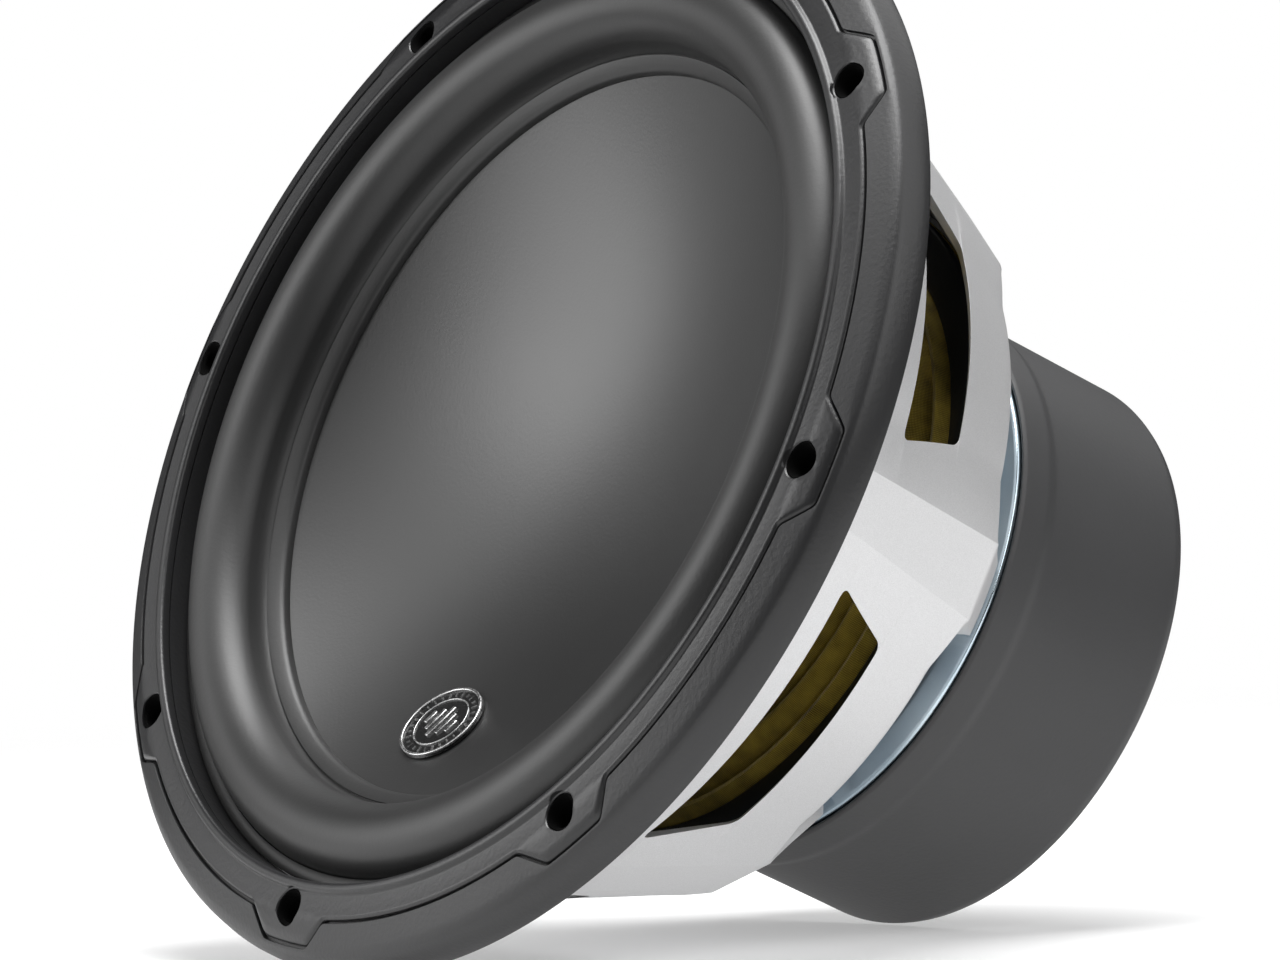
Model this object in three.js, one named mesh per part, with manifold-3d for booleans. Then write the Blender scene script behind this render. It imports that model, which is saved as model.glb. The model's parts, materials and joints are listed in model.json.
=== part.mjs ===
// A 10 inch class car subwoofer. Z is the speaker's axis, from the back of the motor (z = 0) to the
// cone; the origin is the centre of the motor's back face. All sizes are in millimetres.
import * as THREE from "three";
import { mergeVertices } from "three/addons/utils/BufferGeometryUtils.js";
import Module from "manifold-3d";

const wasm = await Module();
wasm.setup();

const DEG = Math.PI / 180;
const GAP = 0.3; // kept between pieces that touch
const LARGE = 40; // facets round the frame and the motor
const MEDIUM = 32; // round the spider
const SMALL = 24; // round the coil and the pole
const TINY = 8; // round screws and holes

// Mounting flange and the rings on its front
const FLANGE = { seat: 147.5, top: 151, inner: 112.6, outer: 131 };
const BOLTS = { count: 8, circle: 125.5, basketHole: 2.9, trimHole: 3.6, gasketHole: 4.5 };
const TRIM = { inner: 118.6, outer: 137, shoulder: 152.5, faceOuter: 135.6, reach: 140 };
const GASKET = { top: 159.3, bottom: 157.7, lip: 160.6, lipOuter: 121.2, outer: 127.2, tab: 133.2 };
const SLOPE = 0.4; // fall of the flange's face beyond the gasket's circle, per millimetre of radius
const POCKET_GAP = 0.5;
const TAB = { halfBase: 7 * DEG, halfTop: 3.8 * DEG };

// Basket: a cone-shaped wall with six spokes between six windows
const SPOKES = 6;
const WALL = { topRadius: 119.3, footRadius: 92.2, foot: 79.3, floorEdge: 76, floorUnder: 66 };
const CAVITY = { floor: 69.5, floorRadius: 74.5, shelf: 80.3, shelfInner: 76.8, shelfOuter: 88.8 };
const WINDOW = { bottom: 99.8, top: 122.4, halfBottom: 26.5, halfTop: 38.3, corner: 3 };
const RIB = { halfWidth: 8.5, top: 121.2, bottom: 93.8, kneeZ: 77.5 };
const FOOT = { under: 58.3, inner: 46, outer: 71.5 };
const COIL_WELL = 34;

// Motor
const PLATE = { inner: 29.2, outer: 70.4, bottom: 50, top: 58 };
const MAGNET = { inner: 32, outer: 68, bottom: 11.3, height: 19.1 };
const BACK = { outer: 66, bottom: 3, top: 11, ventSeat: 13, ventFloor: 4.8 };
const POLE = { radius: 24.4, top: 60, vent: 9 };
const SHORTING = { inner: 24.7, outer: 30, top: 23 };
const BOOT = { radius: 71.2, bulge: 71.9, lip: 54.5, wall: 2.6, floor: 2.7, hole: 20 };
const SCREEN = { radius: 12.6, bottom: 3.3, top: 4.3, hole: 2.2, pitch: 6.6 };
const MOTOR_SCREW = { circle: 58, shank: 2, head: 4.2, headHeight: 3, tip: 51 };

// Moving parts
const FORMER = { inner: 25, outer: 25.8, bottom: 38, top: 116 };
const WINDING = { inner: 26.1, outer: 27.9, bottom: 39, top: 69 };
const COLLAR = { inner: 26.1, outer: 28.4, bottom: 76, top: 92 };
const DISH = { bottom: 116, depth: 28, edge: 93.2, rim: 96.9, wall: 1.2 };
const INNER_CONE = { neck: 26.2, neckZ: 101.5, edge: 75, edgeZ: 131, wall: 1.6 };
const ROLL = { centre: 105.6, half: 9.6, base: 149.8, height: 10, wall: 1.4 };
const LANDING = { outer: 118.2, bottom: 151.3, top: 153 };
const SKIRT = { inner: 91.8, fold: 95, drop: 0.9 };
const SPIDER = { inner: 28.8, outer: 75.6, mid: 84, wave: 3.4, rolls: 5, wall: 0.8 };
const CLAMP = { inner: 77.6, outer: 87.4, bottom: 82, top: 84.6 };

// Badge on the cone
const BADGE = { radius: 11.3, ring: 9.9, at: 70.5, azimuth: 174 * DEG, lift: 0.9 };

// Push terminals, on the spoke at +Y
const PAD = { halfWidth: 19, face: 112, bottom: 84, top: 112 };
const BLOCK = { halfWidth: 19, back: 112.3, front: 126, bottom: 86, top: 110 };
const WELL = { x: 6, halfWidth: 4.7, back: 115.5, front: 123.6, floor: 92 };
const BUTTON = { halfWidth: 4.2, back: 116.8, front: 123.2, bottom: 99.4, top: 114 };
const LUG = { halfWidth: 2, bottom: 94.6, top: 95.6, tip: 91.8, leaf: 115.8, leafTop: 99 };
const SPRING = { radius: 2.2, wire: 0.4, y: 120, bottom: 92.8, top: 98.8, turns: 3 };
const TERMINAL_SCREW = { x: 14.6, z: 98, shank: 1.5, head: 2.9, headHeight: 2, tip: 104.5 };
const LEAD_RADIUS = 0.9;

const SILVER_PAINT = finish(0xc9cacb, 0.45, 0.6);
const CHARCOAL = finish(0x37373a, 0.65, 0);
const RUBBER = finish(0x2c2c2e, 0.75, 0);
const CONE_BLACK = finish(0x3b3b3d, 0.5, 0);
const ZINC = finish(0x9fb0ba, 0.25, 1);
const STEEL = finish(0x8a8c8f, 0.35, 1);
const FERRITE = finish(0x2a2a2c, 0.6, 0);
const COPPER = finish(0xb06a3c, 0.35, 1);
const ALUMINIUM = finish(0xb9bcc0, 0.35, 1);
const MUSTARD = finish(0x6b5716, 0.9, 0);
const BRASS = finish(0xb89a4a, 0.3, 1);
const RED_PLASTIC = finish(0xa32222, 0.4, 0);
const BLACK_PLASTIC = finish(0x1d1d1f, 0.5, 0);

function finish(color, roughness, metalness) {
  return new THREE.MeshStandardMaterial({ color, roughness, metalness });
}

// ---- Solids --------------------------------------------------------------------------------

// A closed geometry as a solid that can be joined and cut.
function solid(geometry) {
  const bare = geometry.index ? geometry.toNonIndexed() : geometry.clone();
  bare.deleteAttribute("normal");
  bare.deleteAttribute("uv");
  const merged = mergeVertices(bare, 1e-4);
  const index = merged.index.array;
  const triangles = [];
  for (let i = 0; i < index.length; i += 3) {
    const corners = [index[i], index[i + 1], index[i + 2]];
    if (new Set(corners).size === 3) triangles.push(...corners);
  }
  const mesh = new wasm.Mesh({
    numProp: 3,
    vertProperties: merged.attributes.position.array,
    triVerts: new Uint32Array(triangles),
  });
  return new wasm.Manifold(mesh);
}

// A solid as a geometry again.
function geometryOf(body) {
  const mesh = body.getMesh();
  const geometry = new THREE.BufferGeometry();
  geometry.setAttribute("position", new THREE.BufferAttribute(mesh.vertProperties, 3));
  geometry.setIndex(new THREE.BufferAttribute(mesh.triVerts, 1));
  geometry.computeVertexNormals();
  return geometry;
}

// A profile of [radius, z] points, anticlockwise with the radius to the right, turned about Z.
function turned(profile, sides) {
  const points = profile.map(([radius, z]) => new THREE.Vector2(radius, z));
  return new THREE.LatheGeometry(points, sides).rotateX(Math.PI / 2);
}

// The same for a ring, whose profile closes on itself.
function ring(profile, sides) {
  return turned([...profile, profile[0]], sides);
}

function box(x0, x1, y0, y1, z0, z1) {
  const block = new THREE.BoxGeometry(x1 - x0, y1 - y0, z1 - z0);
  return block.translate((x0 + x1) / 2, (y0 + y1) / 2, (z0 + z1) / 2);
}

function rod(radius, z0, z1, x = 0, y = 0, sides = TINY) {
  const bar = new THREE.CylinderGeometry(radius, radius, z1 - z0, sides).rotateX(Math.PI / 2);
  return bar.translate(x, y, (z0 + z1) / 2);
}

// A rod along Y.
function crossRod(radius, y0, y1, x, z) {
  return new THREE.CylinderGeometry(radius, radius, y1 - y0, TINY).translate(x, (y0 + y1) / 2, z);
}

// A flat outline of [x, y] points, with holes, raised from z0 to z1.
function raised(outline, z0, z1, holes = []) {
  const shape = new THREE.Shape(outline.map(([x, y]) => new THREE.Vector2(x, y)));
  shape.holes = holes.map((hole) => new THREE.Path(hole.map(([x, y]) => new THREE.Vector2(x, y))));
  const block = new THREE.ExtrudeGeometry(shape, { depth: z1 - z0, bevelEnabled: false });
  return block.translate(0, 0, z0);
}

function polar(radius, angle) {
  return [radius * Math.cos(angle), radius * Math.sin(angle)];
}

function circle(radius, sides, x = 0, y = 0) {
  return Array.from({ length: sides }, (_, i) => {
    const [dx, dy] = polar(radius, (i * 360 * DEG) / sides);
    return [x + dx, y + dy];
  });
}

// Copies of a geometry turned about Z, from the first angle on.
function copies(geometry, count, first) {
  return Array.from({ length: count }, (_, i) =>
    geometry.clone().rotateZ(first + (i * 360 * DEG) / count),
  );
}

function asSolid(body) {
  return body instanceof THREE.BufferGeometry ? solid(body) : body;
}

function join(first, others) {
  return others.reduce((body, other) => body.add(asSolid(other)), asSolid(first));
}

function cut(body, tools) {
  return tools.reduce((rest, tool) => rest.subtract(asSolid(tool)), asSolid(body));
}

const speaker = new THREE.Group();

function add(name, material, body) {
  const mesh = new THREE.Mesh(geometryOf(asSolid(body)), material);
  mesh.name = name;
  speaker.add(mesh);
  return mesh;
}

// A screw along Z: shank from the tip up, a pan head from `seat`, and a round socket in its top.
function screw(size, seat) {
  const { shank, head, headHeight, tip } = size;
  const top = seat + headHeight;
  const socket = 0.45 * head;
  return turned(
    [
      [0, tip],
      [shank, tip + 0.8],
      [shank, seat],
      [head, seat],
      [head, top - 0.7],
      [head - 0.7, top],
      [socket, top],
      [socket, top - 0.5 * headHeight],
      [0, top - 0.5 * headHeight],
    ],
    TINY,
  );
}

// ---- Basket and rings ----------------------------------------------------------------------

function boltHoles(radius, z0, z1) {
  return copies(rod(radius, z0, z1, BOLTS.circle, 0, 12), BOLTS.count, 0);
}

// One window's cutter: a trapezium with round corners, wider at the top, pushed out along +X.
function windowCutter() {
  const { bottom, top, halfBottom, halfTop, corner } = WINDOW;
  const shape = new THREE.Shape();
  shape.moveTo(-halfBottom + corner, bottom);
  shape.lineTo(halfBottom - corner, bottom);
  shape.quadraticCurveTo(halfBottom, bottom, halfBottom + 0.6 * corner, bottom + corner);
  shape.lineTo(halfTop - 0.6 * corner, top - corner);
  shape.quadraticCurveTo(halfTop, top, halfTop - corner, top);
  shape.lineTo(-halfTop + corner, top);
  shape.quadraticCurveTo(-halfTop, top, -halfTop + 0.6 * corner, top - corner);
  shape.lineTo(-halfBottom - 0.6 * corner, bottom + corner);
  shape.quadraticCurveTo(-halfBottom, bottom, -halfBottom + corner, bottom);
  const depth = 45;
  const nearAxis = 85;
  const cutter = new THREE.ExtrudeGeometry(shape, { depth, bevelEnabled: false, curveSegments: 3 });
  // Drawn across X with its height along Y: stand the height up along Z and the depth along X.
  return cutter.rotateX(Math.PI / 2).rotateZ(Math.PI / 2).translate(nearAxis, 0, 0);
}

// One spoke's rib with its foot, centred on +X.
function spokeRib() {
  const profile = [
    [FOOT.inner, FOOT.under],
    [FOOT.outer, FOOT.under],
    [RIB.bottom - 1.3, RIB.kneeZ - 2.5],
    [RIB.bottom, RIB.kneeZ],
    [RIB.top, FLANGE.seat + 0.2],
    [RIB.top - 12, FLANGE.seat + 0.2],
    [80, 75],
    [70, 68],
    [FOOT.inner, 68],
  ];
  const slab = raised(profile, -RIB.halfWidth, RIB.halfWidth);
  return slab.rotateX(Math.PI / 2);
}

function makeBasket() {
  const wall = turned(
    [
      [0, WALL.floorUnder],
      [WALL.floorEdge, WALL.floorUnder],
      [WALL.footRadius - 1.2, WALL.foot - 1.8],
      [WALL.footRadius, WALL.foot],
      [WALL.topRadius, FLANGE.seat],
      [FLANGE.outer, FLANGE.seat],
      [FLANGE.outer, FLANGE.top],
      [0, FLANGE.top],
    ],
    LARGE,
  );
  const cavity = turned(
    [
      [0, CAVITY.floor],
      [CAVITY.floorRadius, CAVITY.floor],
      [CAVITY.shelfInner, CAVITY.shelf],
      [CAVITY.shelfOuter, CAVITY.shelf],
      [FLANGE.inner, 137],
      [FLANGE.inner, FLANGE.top + 1],
      [0, FLANGE.top + 1],
    ],
    LARGE,
  );
  const pad = box(-PAD.halfWidth, PAD.halfWidth, 85, PAD.face, PAD.bottom, PAD.top);
  const lugSlots = [-WELL.x, WELL.x].map((x) =>
    box(x - LUG.halfWidth - 0.4, x + LUG.halfWidth + 0.4, 80, 114, LUG.bottom - 0.4, LUG.top + 0.4),
  );
  const screwHoles = [-1, 1].map((side) =>
    crossRod(TERMINAL_SCREW.shank + 0.4, 103, 114, side * TERMINAL_SCREW.x, TERMINAL_SCREW.z),
  );
  const motorHole = rod(MOTOR_SCREW.shank + 0.5, 50, 75, MOTOR_SCREW.circle, 0);
  const body = cut(join(wall, [...copies(spokeRib(), SPOKES, 30 * DEG), pad]), [
    cavity,
    ...copies(windowCutter(), SPOKES, 0),
    rod(COIL_WELL, 50, 80, 0, 0, SMALL),
    ...boltHoles(BOLTS.basketHole, FLANGE.seat - 5, FLANGE.top + 5),
    ...copies(motorHole, SPOKES, 30 * DEG),
    ...lugSlots,
    ...screwHoles,
  ]);
  add("basket", SILVER_PAINT, body);
}

// The flange's face is level out to the gasket's circle and falls away beyond it. This is the layer
// of space between that face, lowered by `depth`, and a height well above it.
function faceLayer(depth) {
  const level = GASKET.top - depth;
  return solid(
    ring(
      [
        [TRIM.inner - 1, level],
        [GASKET.outer, level],
        [TRIM.reach, level - SLOPE * (TRIM.reach - GASKET.outer)],
        [TRIM.reach, GASKET.lip + 5],
        [TRIM.inner - 1, GASKET.lip + 5],
      ],
      LARGE,
    ),
  );
}

// The gasket's outline: a circle with a flat-topped tab round each bolt hole.
function gasketOutline(grow) {
  const pitch = (360 * DEG) / BOLTS.count;
  const arcSteps = 5;
  const plain = GASKET.outer + grow;
  const tab = GASKET.tab + grow;
  const outline = [];
  for (let i = 0; i < BOLTS.count; i += 1) {
    const middle = i * pitch;
    outline.push(polar(plain, middle - TAB.halfBase));
    outline.push(polar(tab, middle - TAB.halfTop));
    outline.push(polar(tab, middle + TAB.halfTop));
    outline.push(polar(plain, middle + TAB.halfBase));
    const free = pitch - 2 * TAB.halfBase;
    for (let step = 1; step < arcSteps; step += 1) {
      outline.push(polar(plain, middle + TAB.halfBase + (free * step) / arcSteps));
    }
  }
  return outline;
}

function makeTrimRing() {
  const blank = ring(
    [
      [TRIM.inner, FLANGE.top + GAP],
      [FLANGE.outer + 0.4, FLANGE.top + GAP],
      [FLANGE.outer + 0.4, FLANGE.seat],
      [TRIM.outer, FLANGE.seat],
      [TRIM.outer, TRIM.shoulder],
      [TRIM.faceOuter, GASKET.top - SLOPE * (TRIM.faceOuter - GASKET.outer)],
      [GASKET.outer, GASKET.top],
      [TRIM.inner, GASKET.top],
    ],
    LARGE,
  );
  const well = solid(raised(gasketOutline(POCKET_GAP), FLANGE.seat, GASKET.lip + 5));
  const pocket = well.intersect(faceLayer(GASKET.top - GASKET.bottom));
  const holes = boltHoles(BOLTS.trimHole, FLANGE.seat, GASKET.lip);
  add("trim_ring", CHARCOAL, cut(blank, [pocket, ...holes]));
}

function makeGasket() {
  const bottom = GASKET.bottom + GAP;
  const blank = solid(raised(gasketOutline(0), FLANGE.top, GASKET.lip, [circle(TRIM.inner, LARGE)]));
  const sheet = cut(blank.intersect(faceLayer(GASKET.top - bottom)), [faceLayer(0)]);
  const lip = ring(
    [
      [TRIM.inner, bottom],
      [GASKET.lipOuter, bottom],
      [GASKET.lipOuter, GASKET.lip - 0.5],
      [GASKET.lipOuter - 0.6, GASKET.lip],
      [TRIM.inner, GASKET.lip],
    ],
    LARGE,
  );
  const holes = boltHoles(BOLTS.gasketHole, FLANGE.top, GASKET.lip + 2);
  add("mounting_gasket", RUBBER, cut(join(sheet, [lip]), holes));
}

// ---- Motor ---------------------------------------------------------------------------------

function makeMotor() {
  const drill = rod(MOTOR_SCREW.shank + 0.4, 45, 65, MOTOR_SCREW.circle, 0);
  const plate = tube(PLATE, LARGE);
  add("top_plate", ZINC, cut(plate, copies(drill, SPOKES, 30 * DEG)));

  for (const [i, name] of ["magnet_rear", "magnet_front"].entries()) {
    const bottom = MAGNET.bottom + i * (MAGNET.height + GAP);
    const size = { ...MAGNET, bottom, top: bottom + MAGNET.height };
    add(name, FERRITE, tube(size, LARGE));
  }

  const backPlate = ring(
    [
      [BACK.ventSeat, BACK.bottom],
      [BACK.outer - 1, BACK.bottom],
      [BACK.outer, BACK.bottom + 1],
      [BACK.outer, BACK.top],
      [POLE.vent, BACK.top],
      [POLE.vent, BACK.ventFloor],
      [BACK.ventSeat, BACK.ventFloor],
    ],
    LARGE,
  );
  add("back_plate", STEEL, backPlate);

  const pole = ring(
    [
      [POLE.vent, BACK.top + GAP],
      [POLE.radius, BACK.top + GAP],
      [POLE.radius, POLE.top - 1.5],
      [POLE.radius - 1.5, POLE.top],
      [POLE.vent + 3, POLE.top],
      [POLE.vent, POLE.top - 4],
    ],
    SMALL,
  );
  add("pole_piece", STEEL, pole);

  add("shorting_ring", ALUMINIUM, tube({ ...SHORTING, bottom: BACK.top + GAP }));
  makeBoot();
  makeVentScreen();
  const motorScrew = screw(MOTOR_SCREW, CAVITY.floor + GAP).translate(MOTOR_SCREW.circle, 0, 0);
  copies(motorScrew, SPOKES, 30 * DEG).forEach((piece, i) => add(`motor_screw_${i + 1}`, STEEL, piece));
}

// The rubber boot: a cup over the magnets, stretched wider where it grips the top plate.
function makeBoot() {
  const inner = BOOT.radius - BOOT.wall;
  const grip = PLATE.outer + 0.35;
  const boot = ring(
    [
      [BOOT.hole, 0],
      [BOOT.radius - 3, 0],
      [BOOT.radius - 0.9, 0.9],
      [BOOT.radius, 3],
      [BOOT.radius, 44.2],
      [BOOT.bulge, 46.4],
      [BOOT.bulge, BOOT.lip - 1],
      [BOOT.bulge - 0.5, BOOT.lip],
      [grip, BOOT.lip],
      [grip, 49.6],
      [inner, 48.4],
      [inner, BOOT.floor],
      [BOOT.hole, BOOT.floor],
    ],
    LARGE,
  );
  add("motor_boot", RUBBER, boot);
}

// A disc with one hole in the middle and six round it.
function makeVentScreen() {
  const hole = (x, y) => circle(SCREEN.hole, TINY, x, y);
  const holes = [hole(0, 0)];
  for (let i = 0; i < 6; i += 1) holes.push(hole(...polar(SCREEN.pitch, i * 60 * DEG)));
  const disc = raised(circle(SCREEN.radius, SMALL), SCREEN.bottom, SCREEN.top, holes);
  add("vent_screen", STEEL, disc);
}

// ---- Moving assembly -----------------------------------------------------------------------

// Height of the cone's front face at a radius: a paraboloid dish.
function dishHeight(radius) {
  return DISH.bottom + DISH.depth * (radius / DISH.edge) ** 2;
}

function makeCone() {
  const radii = [0, 18, 36, 52, 67, 81, DISH.edge];
  const front = radii.map((radius) => [radius, dishHeight(radius)]);
  const back = front.map(([radius, z]) => [radius, z - DISH.wall]);
  const rim = dishHeight(DISH.edge) + 0.6;
  const profile = [...back, [DISH.rim, rim - DISH.wall], [DISH.rim, rim], ...front.reverse()];
  add("cone", CONE_BLACK, turned(profile, LARGE));

  const { neck, neckZ, edge, edgeZ, wall } = INNER_CONE;
  const brace = ring(
    [
      [neck, neckZ],
      [neck + 2, neckZ],
      [edge, edgeZ],
      [edge - 1.5, edgeZ + 0.7 * wall],
      [neck, neckZ + wall],
    ],
    LARGE,
  );
  add("inner_cone", CONE_BLACK, brace);
}

function tube(size, sides = SMALL) {
  return ring(
    [
      [size.inner, size.bottom],
      [size.outer, size.bottom],
      [size.outer, size.top],
      [size.inner, size.top],
    ],
    sides,
  );
}

// The surround: a half roll between a foot on the cone's rim and one on the basket's flange.
function makeSurround() {
  const steps = 7;
  const arc = (grow) =>
    Array.from({ length: steps + 1 }, (_, i) => {
      const turn = (i * Math.PI) / steps;
      const radius = ROLL.centre + (ROLL.half + grow) * Math.cos(turn);
      return [radius, ROLL.base + (ROLL.height + grow) * Math.sin(turn)];
    });
  const rimTop = dishHeight(DISH.edge) + 0.6 + GAP;
  const profile = [
    [ROLL.centre + ROLL.half - ROLL.wall, LANDING.bottom],
    [LANDING.outer, LANDING.bottom],
    [LANDING.outer, LANDING.top],
    ...arc(0),
    [SKIRT.fold, rimTop + ROLL.wall + SKIRT.drop],
    [SKIRT.inner, rimTop + ROLL.wall - SKIRT.drop],
    [SKIRT.inner, rimTop - SKIRT.drop],
    [DISH.edge + 0.6, rimTop],
    [ROLL.centre - ROLL.half + ROLL.wall, rimTop],
    ...arc(-ROLL.wall).reverse().slice(1, -1),
  ];
  add("surround", RUBBER, ring(profile, LARGE));
}

// The spider: folded cloth in rolls, flat at the foot that is glued to the basket's shelf.
function makeSpider() {
  const half = SPIDER.wall / 2;
  const waves = 2 * SPIDER.rolls;
  const middle = Array.from({ length: waves + 1 }, (_, i) => {
    const radius = SPIDER.inner + ((SPIDER.outer - SPIDER.inner) * i) / waves;
    return [radius, SPIDER.mid + (i % 2 ? -SPIDER.wave : SPIDER.wave)];
  });
  const foot = [CLAMP.outer, CAVITY.shelf + GAP + half];
  middle.push([CLAMP.inner - 0.8, foot[1]], foot);
  const under = middle.map(([radius, z]) => [radius, z - half]);
  const over = middle.map(([radius, z]) => [radius, z + half]).reverse();
  add("spider", MUSTARD, ring([...under, ...over], MEDIUM));
}

// The badge: a dark disc with a silver rim and a bar-graph emblem, laid on the dish's slope.
function makeBadge() {
  const slope = Math.atan((2 * DISH.depth * BADGE.at) / DISH.edge ** 2);
  const place = new THREE.Group();
  place.position.set(...polar(BADGE.at, BADGE.azimuth), dishHeight(BADGE.at));
  // Local X runs round the cone, local Y up the screen towards the axis, local Z out of the dish.
  place.rotation.set(-slope, 0, BADGE.azimuth + Math.PI / 2, "ZXY");
  speaker.add(place);

  const low = BADGE.lift;
  const high = low + 1.3;
  const disc = add("badge_disc", BLACK_PLASTIC, rod(BADGE.radius, low, high, 0, 0, SMALL));
  const rimSize = { inner: BADGE.ring, outer: BADGE.radius, bottom: high + GAP, top: high + 0.9 };
  const rim = add("badge_rim", ALUMINIUM, tube(rimSize));
  const bars = [3, 5.4, 7.8, 5.4, 3].map((half, i) => {
    const x = 2.6 * (i - 2);
    return box(x - 0.8, x + 0.8, -half / 1.6, half / 1.6, high + GAP, high + 0.8);
  });
  const spine = box(-6, 6, -0.5, 0.5, high + GAP, high + 0.8);
  const emblem = add("badge_emblem", ALUMINIUM, join(spine, bars));
  place.add(disc, rim, emblem);
}

// ---- Terminals -----------------------------------------------------------------------------

class Helix extends THREE.Curve {
  getPoint(t, target = new THREE.Vector3()) {
    const turn = 2 * Math.PI * SPRING.turns * t;
    const z = SPRING.bottom + t * (SPRING.top - SPRING.bottom);
    return target.set(SPRING.radius * Math.cos(turn), SPRING.radius * Math.sin(turn), z);
  }
}

// A round wire of some sides along a curve.
function wire(curve, radius, sides, steps) {
  const section = new THREE.Shape(circle(radius, sides).map(([x, y]) => new THREE.Vector2(x, y)));
  return new THREE.ExtrudeGeometry(section, { steps, extrudePath: curve, bevelEnabled: false });
}

function makeTerminals() {
  const body = box(
    -BLOCK.halfWidth,
    BLOCK.halfWidth,
    BLOCK.back,
    BLOCK.front,
    BLOCK.bottom,
    BLOCK.top,
  );
  const cuts = [];
  for (const x of [-WELL.x, WELL.x]) {
    cuts.push(box(x - WELL.halfWidth, x + WELL.halfWidth, WELL.back, WELL.front, WELL.floor, 120));
    cuts.push(crossRod(2.2, WELL.front - 2, BLOCK.front + 2, x, 95.6));
    const half = LUG.halfWidth + 0.4;
    cuts.push(box(x - half, x + half, 110, WELL.back + 1, LUG.bottom - 0.4, LUG.top + 0.4));
  }
  const { x: screwX, z: screwZ, shank } = TERMINAL_SCREW;
  for (const x of [-screwX, screwX]) cuts.push(crossRod(shank + 0.4, 105, 135, x, screwZ));
  add("terminal_block", BLACK_PLASTIC, cut(body, cuts));

  for (const [name, x, colour] of [
    ["positive", WELL.x, RED_PLASTIC],
    ["negative", -WELL.x, BLACK_PLASTIC],
  ]) {
    makeTerminal(name, x, colour);
  }

  const fixing = screw(TERMINAL_SCREW, BLOCK.front + GAP);
  for (const [name, x] of [
    ["right", screwX],
    ["left", -screwX],
  ]) {
    const placed = fixing.clone().rotateX(-Math.PI / 2).translate(x, 0, screwZ);
    add(`terminal_screw_${name}`, STEEL, placed);
  }
}

// One push terminal: its button, the spring under it, its contact and the lead to the coil.
function makeTerminal(name, x, colour) {
  const { halfWidth, back, front, bottom, top } = BUTTON;
  const cap = box(x - halfWidth, x + halfWidth, back, front, bottom, top);
  const ridge = box(x - halfWidth, x + halfWidth, back + 2.4, front - 2.4, top, top + 0.8);
  add(`push_button_${name}`, colour, join(cap, [ridge]));

  const coil = wire(new Helix(), SPRING.wire, 6, 10 * SPRING.turns).translate(x, SPRING.y, 0);
  add(`button_spring_${name}`, STEEL, coil);

  const half = LUG.halfWidth;
  const lug = box(x - half, x + half, LUG.tip, LUG.leaf + 0.2, LUG.bottom, LUG.top);
  const leaf = box(x - 3.4, x + 3.4, LUG.leaf, LUG.leaf + 0.6, WELL.floor + 0.4, LUG.leafTop);
  add(`terminal_contact_${name}`, BRASS, join(lug, [leaf]));

  const side = Math.sign(x);
  const z = (LUG.bottom + LUG.top) / 2;
  const route = new THREE.CatmullRomCurve3([
    new THREE.Vector3(x, LUG.tip - GAP, z),
    new THREE.Vector3(x, 84, z + 1.5),
    new THREE.Vector3(x + side, 72, z + 6.5),
    new THREE.Vector3(x + 1.5 * side, 58, z + 7),
    new THREE.Vector3(x + side, 46, z + 2.5),
    new THREE.Vector3(x, 36, z - 0.5),
    new THREE.Vector3(x, COLLAR.outer + 1, z - 1.5),
  ]);
  add(`tinsel_lead_${name}`, COPPER, wire(route, LEAD_RADIUS, 8, 26));
}

makeBasket();
makeTrimRing();
makeGasket();
makeMotor();
makeCone();
add("voice_coil_former", ALUMINIUM, tube(FORMER));
add("voice_coil_winding", COPPER, tube(WINDING));
add("coil_collar", BLACK_PLASTIC, tube(COLLAR));
makeSurround();
makeSpider();
add("spider_clamp_ring", BLACK_PLASTIC, tube(CLAMP, LARGE));
makeBadge();
makeTerminals();

export default speaker;
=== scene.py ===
"""A car subwoofer leaning on its flange and its motor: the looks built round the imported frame.

Lengths below are in millimetres, as a maker states them, and become metres when a mesh is made.
The speaker's axis is Z; the motor's back face is at z = 0 and the cone is at the top.
"""

import json
import math

import bmesh
import bpy
import numpy as np
from mathutils import Matrix, Vector


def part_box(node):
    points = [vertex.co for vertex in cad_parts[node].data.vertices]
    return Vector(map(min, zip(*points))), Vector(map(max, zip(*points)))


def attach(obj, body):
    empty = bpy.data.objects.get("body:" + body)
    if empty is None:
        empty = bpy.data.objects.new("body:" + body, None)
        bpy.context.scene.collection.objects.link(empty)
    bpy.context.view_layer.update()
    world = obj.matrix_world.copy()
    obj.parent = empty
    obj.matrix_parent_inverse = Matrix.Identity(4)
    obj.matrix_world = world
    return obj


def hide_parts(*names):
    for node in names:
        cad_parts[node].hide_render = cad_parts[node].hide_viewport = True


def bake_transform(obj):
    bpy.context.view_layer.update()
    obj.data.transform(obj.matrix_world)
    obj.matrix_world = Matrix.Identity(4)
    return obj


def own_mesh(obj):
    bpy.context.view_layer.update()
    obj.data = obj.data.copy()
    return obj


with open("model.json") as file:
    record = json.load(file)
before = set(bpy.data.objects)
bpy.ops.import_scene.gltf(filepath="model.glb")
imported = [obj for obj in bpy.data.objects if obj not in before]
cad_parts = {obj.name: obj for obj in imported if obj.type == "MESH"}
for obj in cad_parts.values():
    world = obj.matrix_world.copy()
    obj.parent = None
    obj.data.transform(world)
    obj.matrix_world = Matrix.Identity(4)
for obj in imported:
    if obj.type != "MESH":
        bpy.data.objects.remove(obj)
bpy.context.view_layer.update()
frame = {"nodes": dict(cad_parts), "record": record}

MM = 0.001
LARGE = 288  # columns round the frame and the motor
SMALL = 96  # columns round the badge, the floor and the pad's hollow
TINY = 32  # columns round a bolt hole or a wire hole
CUT_SHARP = 15.0  # degrees past which an edge of a prism or of a cut piece is shaded sharp


def radius_of(node):
    """Half the width of a CAD node, in millimetres."""
    low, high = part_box(node)
    return (high.x - low.x) / 2 / MM


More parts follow.
